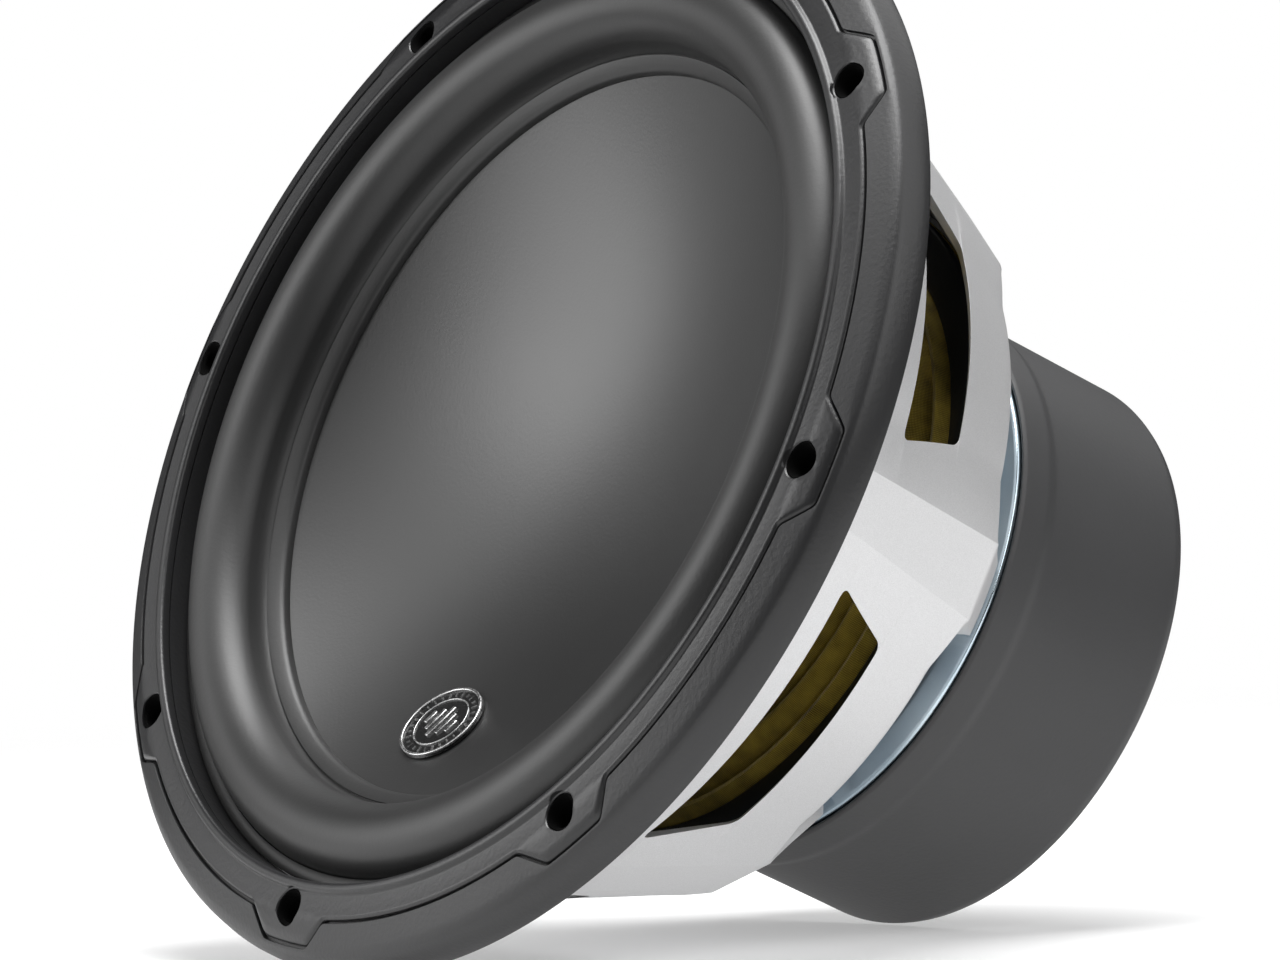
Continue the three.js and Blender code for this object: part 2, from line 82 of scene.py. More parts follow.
def low_of(node):
    """The height of a CAD node's lowest point."""
    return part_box(node)[0].z / MM


def high_of(node):
    """The height of a CAD node's highest point."""
    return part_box(node)[1].z / MM


FLANGE_RADIUS = radius_of("trim_ring")
SEAT = low_of("trim_ring")
TRIM_TOP = high_of("trim_ring")
LIP_TOP = high_of("mounting_gasket")
BASKET_TOP = high_of("basket")
BASKET_RADIUS = radius_of("basket")
MOTOR_RADIUS = radius_of("motor_boot")
BOOT_LIP = high_of("motor_boot")
PLATE_TOP = high_of("top_plate")
PLATE_RADIUS = radius_of("top_plate")
BOLTS = 8
BOLT_CIRCLE = 125.5
SPOKES = 6


# ---- Meshes --------------------------------------------------------------------------------


def make_piece(name, points, faces, material, sharp=35.0, uv=None):
    """A mesh object from an N x 3 array in millimetres and a list or array of faces."""
    mesh = bpy.data.meshes.new(name)
    mesh.from_pydata((np.asarray(points, float) * MM).tolist(), [], [list(map(int, f)) for f in faces])
    mesh.validate()
    if uv is not None:
        layer = mesh.uv_layers.new(name="UVMap")
        corner = np.zeros(len(mesh.loops), np.int32)
        mesh.loops.foreach_get("vertex_index", corner)
        layer.data.foreach_set("uv", np.asarray(uv, np.float32)[corner].ravel())
    mesh.shade_smooth()
    mesh.set_sharp_from_angle(angle=math.radians(sharp))
    mesh.materials.append(material)
    piece = bpy.data.objects.new(name, mesh)
    bpy.context.scene.collection.objects.link(piece)
    return piece


def grid_faces(rows, columns, wrap_rows):
    """Quads of a rows x columns grid whose point (i, j) has the number i * columns + j. Each row is
    a closed ring, and with wrap_rows the last row joins the first."""
    i = np.arange(rows if wrap_rows else rows - 1)
    j = np.arange(columns)
    i, j = np.meshgrid(i, j, indexing="ij")
    right = (j + 1) % columns
    up = (i + 1) % rows
    quads = [i * columns + j, i * columns + right, up * columns + right, up * columns + j]
    return np.stack(quads, axis=-1).reshape(-1, 4)


def rounded(profile, radius, steps=4):
    """A closed profile with each corner replaced by a quadratic arc that starts `radius` away from
    it, or a third of the shorter side away where that is less."""
    profile = [np.array(p, float) for p in profile]
    out = []
    for i, corner in enumerate(profile):
        before = profile[i - 1] - corner
        after = profile[(i + 1) % len(profile)] - corner
        reach = min(radius, np.linalg.norm(before) / 3, np.linalg.norm(after) / 3)
        start = corner + before / np.linalg.norm(before) * reach
        end = corner + after / np.linalg.norm(after) * reach
        for t in np.linspace(0, 1, steps):
            out.append((1 - t) ** 2 * start + 2 * t * (1 - t) * corner + t * t * end)
    return np.array(out)


def turned(profile, columns):
    """Points of a profile turned about Z: (r cos a, r sin a, z) for each column's angle a."""
    angle = np.linspace(0, 2 * math.pi, columns, endpoint=False)
    r, z = profile[:, :1], profile[:, 1:]
    return np.stack([r * np.cos(angle), r * np.sin(angle), z + 0 * angle], axis=-1).reshape(-1, 3)


def surface_uv(profile, columns):
    """U runs round at the profile's mean radius and v along it, both in metres."""
    angle = np.linspace(0, 2 * math.pi, columns, endpoint=False)
    along = np.r_[0, np.cumsum(np.hypot(*np.diff(profile, axis=0).T))]
    u = np.tile(angle * profile[:, 0].mean(), len(profile))
    return np.stack([u, np.repeat(along, columns)], axis=-1) * MM


def ring_piece(name, profile, material, columns=LARGE, **options):
    """A closed ring: the profile, anticlockwise with the radius to the right, turned about Z."""
    profile = np.asarray(profile, float)
    faces = grid_faces(len(profile), columns, wrap_rows=True)
    uv = surface_uv(profile, columns)
    return make_piece(name, turned(profile, columns), faces, material, uv=uv, **options)


def disc_piece(name, profile, material, columns=LARGE, **options):
    """A solid of revolution: the profile runs anticlockwise from the axis to the axis, and each
    end is closed with a fan to a single point."""
    profile = np.asarray(profile, float)
    body = profile[1:-1]
    points = turned(body, columns)
    low, high = len(points), len(points) + 1
    points = np.vstack([points, [0, 0, profile[0, 1]], [0, 0, profile[-1, 1]]])
    faces = grid_faces(len(body), columns, wrap_rows=False).tolist()
    last = (len(body) - 1) * columns
    for j in range(columns):
        nxt = (j + 1) % columns
        faces.append([low, nxt, j])
        faces.append([high, last + j, last + nxt])
    return make_piece(name, points, faces, material, **options)


def apply_modifier(piece, kind, **settings):
    """Adds a modifier to a piece and bakes its result into the mesh."""
    modifier = piece.modifiers.new(kind.lower(), kind)
    for key, value in settings.items():
        setattr(modifier, key, value)
    graph = bpy.context.evaluated_depsgraph_get()
    baked = bpy.data.meshes.new_from_object(piece.evaluated_get(graph))
    piece.modifiers.clear()
    piece.data = baked


def drill(piece, radius, z0, z1, centres, countersink=0.0, sharp=40.0):
    """Cuts a round hole along Z at each centre, widened by a countersink at its top."""
    wide = radius + countersink
    levels = np.array([(radius, z0), (radius, z1 - countersink), (wide, z1), (wide, z1 + 3)])
    points, faces = [], []
    for x, y in centres:
        start = len(points) * len(levels) * TINY
        points.append(turned(levels, TINY) + [x, y, 0])
        faces += (grid_faces(len(levels), TINY, wrap_rows=False) + start).tolist()
        faces.append([start + k for k in range(TINY)][::-1])
        faces.append([start + (len(levels) - 1) * TINY + k for k in range(TINY)])
    tool = make_piece("drill", np.vstack(points), faces, piece.data.materials[0])
    take_away(piece, tool, sharp)


def prism(name, outline, x0, x1, material, soft=0.4):
    """An outline of (y, z) points drawn along X, with its edges softened."""
    outline = np.asarray(outline, float)
    count = len(outline)
    points = np.vstack([np.c_[np.full(count, x), outline] for x in (x0, x1)])
    faces = [[j, (j + 1) % count, count + (j + 1) % count, count + j] for j in range(count)]
    faces += [list(range(count))[::-1], list(range(count, 2 * count))]
    y, z = outline.T
    if np.dot(y, np.roll(z, -1)) < np.dot(z, np.roll(y, -1)):  # the outline runs clockwise
        faces = [face[::-1] for face in faces]
    piece = make_piece(name, points, faces, material)
    if soft:
        apply_modifier(piece, "BEVEL", width=soft * MM, segments=3, limit_method="ANGLE")
        piece.data.set_sharp_from_angle(angle=math.radians(CUT_SHARP))
    return piece


def rectangle(y0, y1, z0, z1):
    """The outline of a box, for a prism."""
    return [(y0, z0), (y1, z0), (y1, z1), (y0, z1)]


def close_slivers(piece):
    """Joins points closer than five thousandths of a millimetre and fills what stays open."""
    mesh = bmesh.new()
    mesh.from_mesh(piece.data)
    bmesh.ops.remove_doubles(mesh, verts=mesh.verts, dist=0.005 * MM)
    gaps = [edge for edge in mesh.edges if edge.is_boundary]
    bmesh.ops.holes_fill(mesh, edges=gaps, sides=12)
    mesh.to_mesh(piece.data)
    mesh.free()


def take_away(piece, tool, sharp=CUT_SHARP):
    """Cuts one piece with another, which is then removed, and marks edges past the sharp angle, in
    degrees, as sharp. With no angle the marks stay as they were."""
    apply_modifier(piece, "BOOLEAN", operation="DIFFERENCE", object=tool, solver="EXACT")
    bpy.data.objects.remove(tool)
    if sharp:
        piece.data.set_sharp_from_angle(angle=math.radians(sharp))


def bolt_centres():
    """Where the bolts stand: evenly round the bolt circle, one of them on the X axis."""
    angle = np.arange(BOLTS) * 2 * math.pi / BOLTS
    return np.stack([BOLT_CIRCLE * np.cos(angle), BOLT_CIRCLE * np.sin(angle)], axis=-1)


# ---- Materials -----------------------------------------------------------------------------


class Finish:
    """A node material: a Principled shader whose colour, roughness and bump come from patterns."""

    def __init__(self, name, **shader):
        self.material = bpy.data.materials.new(name)
        self.material.use_nodes = True
        self.tree = self.material.node_tree
        self.shader = self.tree.nodes["Principled BSDF"]
        for key, value in shader.items():
            self.shader.inputs[key.replace("_", " ")].default_value = value
        self.coordinates = self.tree.nodes.new("ShaderNodeTexCoord")

    def node(self, kind, **settings):
        made = self.tree.nodes.new(kind)
        for key, value in settings.items():
            if key in made.inputs:
                made.inputs[key].default_value = value
            else:
                setattr(made, key, value)
        return made

    def link(self, source, target):
        self.tree.links.new(source, target)

    def noise(self, scale, detail):
        made = self.node("ShaderNodeTexNoise", Scale=scale, Detail=detail)
        self.link(self.coordinates.outputs["Object"], made.inputs["Vector"])
        return made.outputs["Fac"]

    def ramp(self, value, low, high, dark, light):
        """Colour that goes from dark to light as the value goes from low to high."""
        made = self.node("ShaderNodeValToRGB")
        first, last = made.color_ramp.elements
        first.position, last.position = low, high
        first.color, last.color = (*dark, 1.0), (*light, 1.0)
        self.link(value, made.inputs["Fac"])
        return made.outputs["Color"]

    def colour(self, value):
        self.link(value, self.shader.inputs["Base Color"])

    def roughness(self, value, low, high):
        made = self.node("ShaderNodeMapRange")
        made.inputs["To Min"].default_value = low
        made.inputs["To Max"].default_value = high
        self.link(value, made.inputs["Value"])
        self.link(made.outputs["Result"], self.shader.inputs["Roughness"])

    def bump(self, value, strength, distance_mm):
        made = self.node("ShaderNodeBump", Strength=strength, Distance=distance_mm * MM)
        self.link(value, made.inputs["Height"])
        self.link(made.outputs["Normal"], self.shader.inputs["Normal"])


def grey(level, blue=1.0):
    """A grey whose blue is a little stronger or weaker than the rest."""
    return (level, level, level * blue)


def moulded(name, dark, light, rough, grain=900.0, strength=0.25, specular=0.4):
    """Moulded rubber or plastic: fine grain, a slow change of tone, and a little uneven gloss."""
    finish = Finish(name, Specular_IOR_Level=specular)
    slow = finish.noise(14.0, 4.0)
    fine = finish.noise(grain, 2.0)
    finish.colour(finish.ramp(slow, 0.3, 0.7, dark, light))
    finish.roughness(slow, rough - 0.05, rough + 0.06)
    finish.bump(fine, strength, 0.25)
    return finish.material


def powder_paint():
    """Silver powder coat: pale grey with metal flake, a slight orange peel and satin gloss."""
    finish = Finish("silver_powder_coat", Metallic=0.35, Coat_Weight=0.15, Coat_Roughness=0.3)
    flake = finish.noise(4200.0, 2.0)
    peel = finish.noise(420.0, 2.0)
    finish.colour(finish.ramp(flake, 0.3, 0.7, grey(0.52, 1.01), grey(0.63, 1.01)))
    finish.roughness(peel, 0.36, 0.44)
    finish.bump(peel, 0.06, 0.06)
    return finish.material


def bright_zinc():
    """Zinc plating: mirror-like, bluish, with faint cloudy stains."""
    finish = Finish("bright_zinc", Metallic=1.0)
    cloud = finish.noise(22.0, 4.0)
    finish.colour(finish.ramp(cloud, 0.35, 0.7, (0.40, 0.50, 0.58), (0.70, 0.80, 0.86)))
    finish.roughness(cloud, 0.12, 0.26)
    finish.bump(finish.noise(500.0, 2.0), 0.05, 0.05)
    return finish.material


def bare_metal(name, dark, light, rough=0.3, scale=350.0):
    """Bare or plated metal: clouded colour, with gloss and a faint bump from the same clouds."""
    finish = Finish(name, Metallic=1.0)
    mark = finish.noise(scale, 4.0)
    finish.colour(finish.ramp(mark, 0.3, 0.7, dark, light))
    finish.roughness(mark, rough - 0.08, rough + 0.12)
    finish.bump(mark, 0.12, 0.05)
    return finish.material


def cone_skin():
    """The dish: satin polymer with a fine pressed grain."""
    finish = Finish("cone_satin", Specular_IOR_Level=0.88)
    grain = finish.noise(1300.0, 3.0)
    slow = finish.noise(9.0, 3.0)
    finish.colour(finish.ramp(slow, 0.3, 0.7, grey(0.008), grey(0.011)))
    finish.roughness(slow, 0.35, 0.40)
    finish.bump(grain, 0.22, 0.12)
    return finish.material


def folded_cloth():
    """Resin-treated cloth: two crossed threads, mustard, darker between the threads."""
    finish = Finish("mustard_cloth", Specular_IOR_Level=0.25, Sheen_Weight=0.15)
    threads = []
    for turn in (0.0, math.pi / 2):
        place = finish.node("ShaderNodeMapping")
        place.inputs["Rotation"].default_value = (0, 0, turn)
        finish.link(finish.coordinates.outputs["UV"], place.inputs["Vector"])
        wave = finish.node("ShaderNodeTexWave", Scale=900.0, Distortion=1.0)
        finish.link(place.outputs["Vector"], wave.inputs["Vector"])
        threads.append(wave.outputs["Fac"])
    cross = finish.node("ShaderNodeMath", operation="MULTIPLY")
    finish.link(threads[0], cross.inputs[0])
    finish.link(threads[1], cross.inputs[1])
    patch = finish.noise(180.0, 5.0)
    blend = finish.node("ShaderNodeMath", operation="ADD")
    finish.link(cross.outputs[0], blend.inputs[0])
    finish.link(patch, blend.inputs[1])
    finish.colour(finish.ramp(blend.outputs[0], 0.3, 1.1, (0.10, 0.070, 0.008), (0.60, 0.43, 0.06)))
    finish.roughness(patch, 0.75, 0.95)
    finish.bump(blend.outputs[0], 0.5, 0.25)
    return finish.material


def wound_wire():
    """Enamelled copper: fine turns along the axis."""
    finish = Finish("copper_turns", Metallic=1.0)
    wave = finish.node("ShaderNodeTexWave", Scale=420.0, bands_direction="Z")
    finish.link(finish.coordinates.outputs["Object"], wave.inputs["Vector"])
    finish.colour(finish.ramp(wave.outputs["Fac"], 0.1, 0.8, (0.25, 0.08, 0.03), (0.78, 0.36, 0.18)))
    finish.roughness(wave.outputs["Fac"], 0.2, 0.4)
    finish.bump(wave.outputs["Fac"], 0.6, 0.2)
    return finish.material


PAINT = powder_paint()
TRIM_PLASTIC = moulded("charcoal_trim", grey(0.018, 1.04), grey(0.025, 1.04), 0.38)
GASKET_RUBBER = moulded("gasket_rubber", grey(0.014, 1.05), grey(0.018, 1.05), 0.34, specular=0.45)
BOOT_RUBBER = moulded("boot_rubber", grey(0.036, 1.03), grey(0.044, 1.03), 0.5)
ROLL_RUBBER = moulded("surround_rubber", grey(0.018), grey(0.023), 0.42, strength=0.15, specular=0.48)
BLACK_PLASTIC = moulded("black_plastic", grey(0.012), grey(0.018), 0.42)
RED_PLASTIC = moulded("red_plastic", (0.38, 0.02, 0.015), (0.5, 0.035, 0.025), 0.35)
FERRITE = moulded("ferrite", grey(0.03), grey(0.06), 0.6, grain=300.0, strength=0.4)
ZINC = bright_zinc()
STEEL = bare_metal("plated_steel", grey(0.4), grey(0.62, 1.03))
ALUMINIUM = bare_metal("aluminium", grey(0.62), grey(0.78), 0.32)
BRASS = bare_metal("plated_brass", (0.55, 0.42, 0.18), (0.75, 0.6, 0.3), 0.28)
COPPER_BRAID = bare_metal("tinsel_braid", (0.42, 0.2, 0.1), (0.75, 0.48, 0.3), 0.35, 1500.0)
BADGE_SILVER = bare_metal("badge_silver", grey(0.62), grey(0.8), 0.25, 800.0)
BADGE_BLACK = moulded("badge_black", grey(0.010), grey(0.014), 0.25)
# painted shade: a near-black, matt finish for the tubes that darken the bolt holes
HOLE_SHADE = moulded("painted_hole_shade", grey(0.001), grey(0.002), 0.9, specular=0.05)
CONE_SKIN = cone_skin()
CLOTH = folded_cloth()
COPPER_TURNS = wound_wire()


# ---- Basket --------------------------------------------------------------------------------

WALL_TOP = (119.3, SEAT)  # radius and height where the wall meets the flange
WALL_FOOT = (92.2, 79.3)
RIB_TOP = 121.2
RIB_FOOT = (93.8, 76.8)
RIB_HALF_HIGH, RIB_HALF_LOW = 6.6, 9.4  # half the width of a spoke's flat face
FOOT_UNDER = PLATE_TOP + 0.3
FLOOR_UNDER = 66.8
FLOOR = 69.5
SHELF = 80.3
WINDOW_LOW, WINDOW_HIGH = 99.8, 122.4
WINDOW_HALF_LOW, WINDOW_HALF_HIGH = 15.8, 20.6  # degrees
WINDOW_CORNER = 2.2
CORNER_RADIUS = 108.0  # distance from the axis at which the windows' corners are true arcs
SILL_DROP, SIDE_SPREAD = 2.6, math.radians(1.3)
SLOPE_FOOT = 84  # height at which the inner wall's rows begin to drop towards the sill
FLANGE_HOLE = 112.6
INNER_FOOT, INNER_SLOPE = 88.8, 0.42  # the inner wall's radius at the shelf, and its growth with height
FACE_DRAFT = 1.1  # width of the steep strip beside a spoke's flat face
COIL_HOLE = 34.5
BASKET_BOLT_HOLE = 2.9


def window_half_angle(z):
    """Half the angle of a window at height z: linear between its two ends, drawn in along a
    quarter circle near each, so that the corners are round. Beyond the window it stays put."""
    share = np.clip((z - WINDOW_LOW) / (WINDOW_HIGH - WINDOW_LOW), 0, 1)
    half = WINDOW_HALF_LOW + share * (WINDOW_HALF_HIGH - WINDOW_HALF_LOW)
    for end, side in ((WINDOW_LOW, 1), (WINDOW_HIGH, -1)):
        inside = np.clip(side * (z - end), 0, WINDOW_CORNER)
        drawn = WINDOW_CORNER - np.sqrt(WINDOW_CORNER**2 - (WINDOW_CORNER - inside) ** 2)
        half = half - np.degrees(drawn / CORNER_RADIUS)
    return np.radians(half)


def wall_rows():
    """Heights of the wall's rows, close together along the windows' round corners."""
    corner = WINDOW_CORNER * (1 - np.cos(np.linspace(0, math.pi / 2, 6)))
    below = np.linspace(WALL_FOOT[1] + 0.4, WINDOW_LOW, 9)[:-1]
    middle = np.linspace(WINDOW_LOW + WINDOW_CORNER, WINDOW_HIGH - WINDOW_CORNER, 7)[1:-1]
    above = np.linspace(WINDOW_HIGH, SEAT - 0.4, 9)[1:]
    return np.r_[below, WINDOW_LOW + corner, middle, WINDOW_HIGH - corner[::-1], above]


def make_basket():
    """One closed grid: a profile of rows, each with a plain and a rib form, turned about Z. Between
    a window's edge and the spoke's crease the rib form fades to the plain one in a straight line,
    which makes flat facets. Cells inside the windows are left out of the outer and the inner wall
    and the two walls are bridged along the windows' edges."""
    heights = wall_rows()
    rise = (heights - WALL_FOOT[1]) / (WALL_TOP[1] - WALL_FOOT[1])
    outer_plain = WALL_FOOT[0] + rise * (WALL_TOP[0] - WALL_FOOT[0])
    rib_height = heights - (WALL_FOOT[1] - RIB_FOOT[1]) * (1 - rise) ** 3
    outer_rib = RIB_FOOT[0] + (rib_height - RIB_FOOT[1]) / (SEAT - RIB_FOOT[1]) * (RIB_TOP - RIB_FOOT[0])
    rib_half = RIB_HALF_LOW + rise * (RIB_HALF_HIGH - RIB_HALF_LOW)
    inner_r = np.minimum(INNER_FOOT + (heights - SHELF) * INNER_SLOPE, FLANGE_HOLE)
    # The windows' sills slope down and their sides spread towards the inside, so the inner wall's
    # rows lie lower than the outer ones there.
    below = np.clip((heights - SLOPE_FOOT) / (WINDOW_LOW - SLOPE_FOOT), 0, 1)
    above = np.clip((WINDOW_HIGH - heights) / (WINDOW_HIGH - WINDOW_LOW), 0, 1)
    inner_z = heights - SILL_DROP * below * above
    # Each row: plain radius and height, rib radius and height, half the width of the rib's face, and
    # how far the rib reaches sideways (1: to the window's edge, 0: past its face by its draft).
    narrow, broad = RIB_HALF_HIGH, RIB_HALF_LOW
    rim = BASKET_RADIUS
    turn = np.linspace(0, math.pi / 2, 4)
    corner = np.stack([0.5 * np.sin(turn), 0.5 - 0.5 * np.cos(turn)], axis=-1)
    rows = [
        (FLANGE_HOLE, BASKET_TOP, FLANGE_HOLE, BASKET_TOP, narrow, 1),
        (rim - 0.6, BASKET_TOP, rim - 0.6, BASKET_TOP, narrow, 1),
        (rim, BASKET_TOP - 0.6, rim, BASKET_TOP - 0.6, narrow, 1),
        (rim, SEAT, rim, SEAT, narrow, 1),
        (WALL_TOP[0] + 1.2, SEAT, RIB_TOP + 1.2, SEAT, narrow, 1),
    ]
    first_outer = len(rows)
    wall = zip(outer_plain, heights, outer_rib, rib_height, rib_half, np.ones(len(heights)))
    rows += list(wall)[::-1]
    rows += [
        (92.0, 79.0, 93.5, 76.2, broad, 1),
        (91.4, 78.2, 92.6, 75.0, broad, 0.45),
        (89.0, 77.2, 90.4, 73.3, 9.3, 0.4),
        (84.0, 74.8, 84.2, 68.2, 9.2, 0.3),
        (76.0, 69.0, 73.8, 59.2, 9.0, 0.2),
        (73.0, FLOOR_UNDER, 72.6, FOOT_UNDER, 9.0, 0.1),
        (60, FLOOR_UNDER, 60, FOOT_UNDER, 9.0, 0),
        (46.6, FLOOR_UNDER, 46.6, FOOT_UNDER, 9.0, 0),
        (46.0, FLOOR_UNDER, 46.0, FOOT_UNDER + 0.6, 9.0, 0),
        (45.4, FLOOR_UNDER, 45.8, FLOOR_UNDER - 0.1, 9.0, 0),
        *((COIL_HOLE - x, FLOOR_UNDER + z, COIL_HOLE - x, FLOOR_UNDER + z, 9.0, 0) for x, z in corner),
        *((COIL_HOLE - x, FLOOR - z, COIL_HOLE - x, FLOOR - z, 9.0, 1) for x, z in corner[::-1]),
        (74.5, FLOOR, 74.5, FLOOR, 9.0, 1),
        (76.8, SHELF - 0.4, 76.8, SHELF - 0.4, 9.0, 1),
        (77.2, SHELF, 77.2, SHELF, 9.0, 1),
        (88.4, SHELF, 88.4, SHELF, 9.0, 1),
    ]
    first_inner = len(rows)
    rows += [(r, z, r, z, half, 1) for r, z, half in zip(inner_r, inner_z, rib_half)]
    rows.append((FLANGE_HOLE, SEAT + 1, FLANGE_HOLE, SEAT + 1, narrow, 1))
    rows = np.array(rows)
    columns_window, columns_facet, columns_draft, columns_rib = 9, 7, 2, 5
    half_pitch = math.pi / SPOKES
    inner_rows = slice(first_inner, first_inner + len(heights))
    edge_height = rows[:, 1].copy()
    edge_height[inner_rows] = heights
    edge = window_half_angle(edge_height)
    edge[inner_rows] += SIDE_SPREAD
    face_half = np.arcsin(rows[:, 4] / rows[:, 2])
    crease = half_pitch - face_half
    reach = rows[:, 5]
    draft = crease - FACE_DRAFT / rows[:, 2]
    start = draft + (edge - draft) * reach
    ladder = [
        np.linspace(np.zeros(len(rows)), edge, columns_window + 1)[:-1],
        np.linspace(edge, draft, columns_facet + 1)[:-1],
        np.linspace(draft, crease, columns_draft + 1)[:-1],
        np.linspace(crease, np.full(len(rows), half_pitch), columns_rib + 1),
    ]
    side = np.vstack(ladder).T  # rows x columns of one half sector
    crease_column = columns_window + columns_facet + columns_draft
    half = side.shape[1]
    sector = np.hstack([-side[:, :0:-1], side[:, :-1]])  # from spoke to spoke, without the last
    weight_half = np.clip((side - start[:, None]) / (crease - start)[:, None], 0, 1)
    weight = np.hstack([weight_half[:, :0:-1], weight_half[:, :-1]])
    off_centre = np.clip(half_pitch - np.abs(sector), 0, face_half[:, None])
    flat = np.cos(face_half)[:, None] / np.cos(off_centre)
    # The wall and the two rows under it, where the spokes have a flat face.
    wall_span = slice(first_outer, first_outer + len(heights) + 2)
    is_wall = np.zeros(len(rows), bool)
    is_wall[wall_span] = True
    flat = np.where(is_wall[:, None] & (weight >= 1), flat, 1.0)
    radius = (rows[:, :1] * (1 - weight) + rows[:, 2:3] * weight) * flat
    height = rows[:, 1:2] * (1 - weight) + rows[:, 3:4] * weight
    width = sector.shape[1]
    angle = np.hstack([sector + k * 2 * half_pitch for k in range(SPOKES)])
    radius, height = np.tile(radius, SPOKES), np.tile(height, SPOKES)
    points = np.stack([radius * np.cos(angle), radius * np.sin(angle), height], -1).reshape(-1, 3)
    columns = width * SPOKES
    faces = grid_faces(len(rows), columns, wrap_rows=True).reshape(len(rows), columns, 4)
    keep = np.ones((len(rows), columns), bool)
    z_low = int(np.argmin(abs(heights - WINDOW_LOW)))
    z_high = int(np.argmin(abs(heights - WINDOW_HIGH)))
    outer_top = first_outer + (len(heights) - 1 - z_high)
    outer_low = first_outer + (len(heights) - 1 - z_low)
    inner_low, inner_top = first_inner + z_low, first_inner + z_high
    bridges = []
    for k in range(SPOKES):
        middle = k * width + half - 1
        left, right = middle - columns_window, middle + columns_window
        span = np.arange(left, right)
        keep[outer_top:outer_low, span] = False
        keep[inner_low:inner_top, span] = False

        def number(row, column):
            return row * columns + column % columns

        for step in range(z_high - z_low):
            a, b = outer_low - step, outer_low - step - 1
            c, d = inner_low + step, inner_low + step + 1
            bridges.append([number(a, left), number(b, left), number(d, left), number(c, left)])
            bridges.append([number(b, right), number(a, right), number(c, right), number(d, right)])
        for column in span:
            low = [number(outer_low, column + 1), number(outer_low, column)]
            bridges.append(low + [number(inner_low, column), number(inner_low, column + 1)])
            top = [number(outer_top, column), number(outer_top, column + 1)]
            bridges.append(top + [number(inner_top, column + 1), number(inner_top, column)])
    # The profile runs clockwise here, so its quads are turned round to face outwards.
    quads = faces[keep][:, ::-1].tolist() + [b[::-1] for b in bridges]
    piece = make_piece("basket_shell", points, quads, PAINT, sharp=24)
    mark_creases(piece, columns, width, half, crease_column, wall_span)
    limit = {"limit_method": "ANGLE", "angle_limit": math.radians(34)}
    apply_modifier(piece, "BEVEL", width=0.55 * MM, segments=2, **limit)
    drill(piece, BASKET_BOLT_HOLE, SEAT - 5, BASKET_TOP + 1, bolt_centres(), sharp=None)
    close_slivers(piece)
    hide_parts("basket")
    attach(piece, "basket")


def mark_creases(piece, columns, width, half, crease_column, wall_span):
    """Marks the spokes' creases sharp: edges that run down the wall in a crease's column."""
    mesh = piece.data
    ends = np.zeros(len(mesh.edges) * 2, np.int32)
    mesh.edges.foreach_get("vertices", ends)
    row, column = np.divmod(ends.reshape(-1, 2), columns)
    place = (column % width) - (half - 1)
    crease = (np.abs(place) == crease_column) & (row >= wall_span.start) & (row < wall_span.stop)
    sharp = np.zeros(len(mesh.edges), bool)
    attribute = mesh.attributes.get("sharp_edge") or mesh.attributes.new("sharp_edge", "BOOLEAN", "EDGE")
    attribute.data.foreach_get("value", sharp)
    sharp |= crease.all(axis=1) & (place[:, 0] == place[:, 1])
    attribute.data.foreach_set("value", sharp)


# ---- Flange rings --------------------------------------------------------------------------


GASKET_CIRCLE, GASKET_TAB = 127.2, 133.2
GASKET_FACE = 159.3
RING_HOLE = 118.6
FACE_EDGE = 134.9
FACE_FALL = 0.4  # the face's fall per millimetre outside the gasket's circle
TRIM_BOLT_HOLE, GASKET_BOLT_HOLE = 3.6, 4.5
TAB_FOOT, TAB_TOP = math.radians(6.9), math.radians(3.9)  # half angles of a tab


def face_height(radius):
    """The flange's face: level out to the gasket's circle, then falling evenly."""
    return GASKET_FACE - FACE_FALL * np.clip(radius - GASKET_CIRCLE, 0, None)


def flange_columns():
    """Angles with close columns on the sides of the eight tabs."""
    steps = np.r_[np.linspace(-22.5, -8, 12), np.linspace(-7.6, -3.2, 15), np.linspace(-2.6, 2.6, 9)]
    steps = np.r_[steps, np.linspace(3.2, 7.6, 15), np.linspace(8, 22.5, 12)[:-1]]
    return np.concatenate([np.radians(steps) + k * math.pi / 4 for k in range(BOLTS)])


def gasket_edge(angle):
    """The gasket's outer radius: a circle, raised to a flat-topped tab round each bolt hole. The
    sides of a tab are straight ramps with rounded ends."""
    pitch = 2 * math.pi / BOLTS
    off = np.abs((angle + pitch / 2) % pitch - pitch / 2)
    ramp = np.clip((TAB_FOOT - off) / (TAB_FOOT - TAB_TOP), 0, 1)
    edge = GASKET_CIRCLE + (GASKET_TAB - GASKET_CIRCLE) * ramp
    return np.convolve(np.r_[edge[-1], edge, edge[0]], np.array([1, 2, 1]) / 4, "valid")


def flange_piece(name, rows, angle, material):
    """A closed grid round the axis; each row is a radius (one number or one per column) and a
    height (likewise)."""
    level = np.ones_like(angle)
    radius = np.array([r * level for r, _ in rows])
    height = np.array([z * level for _, z in rows])
    points = np.stack([radius * np.cos(angle), radius * np.sin(angle), height], -1).reshape(-1, 3)
    faces = grid_faces(len(rows), len(angle), wrap_rows=True)
    return make_piece(name, points, faces, material, sharp=40)


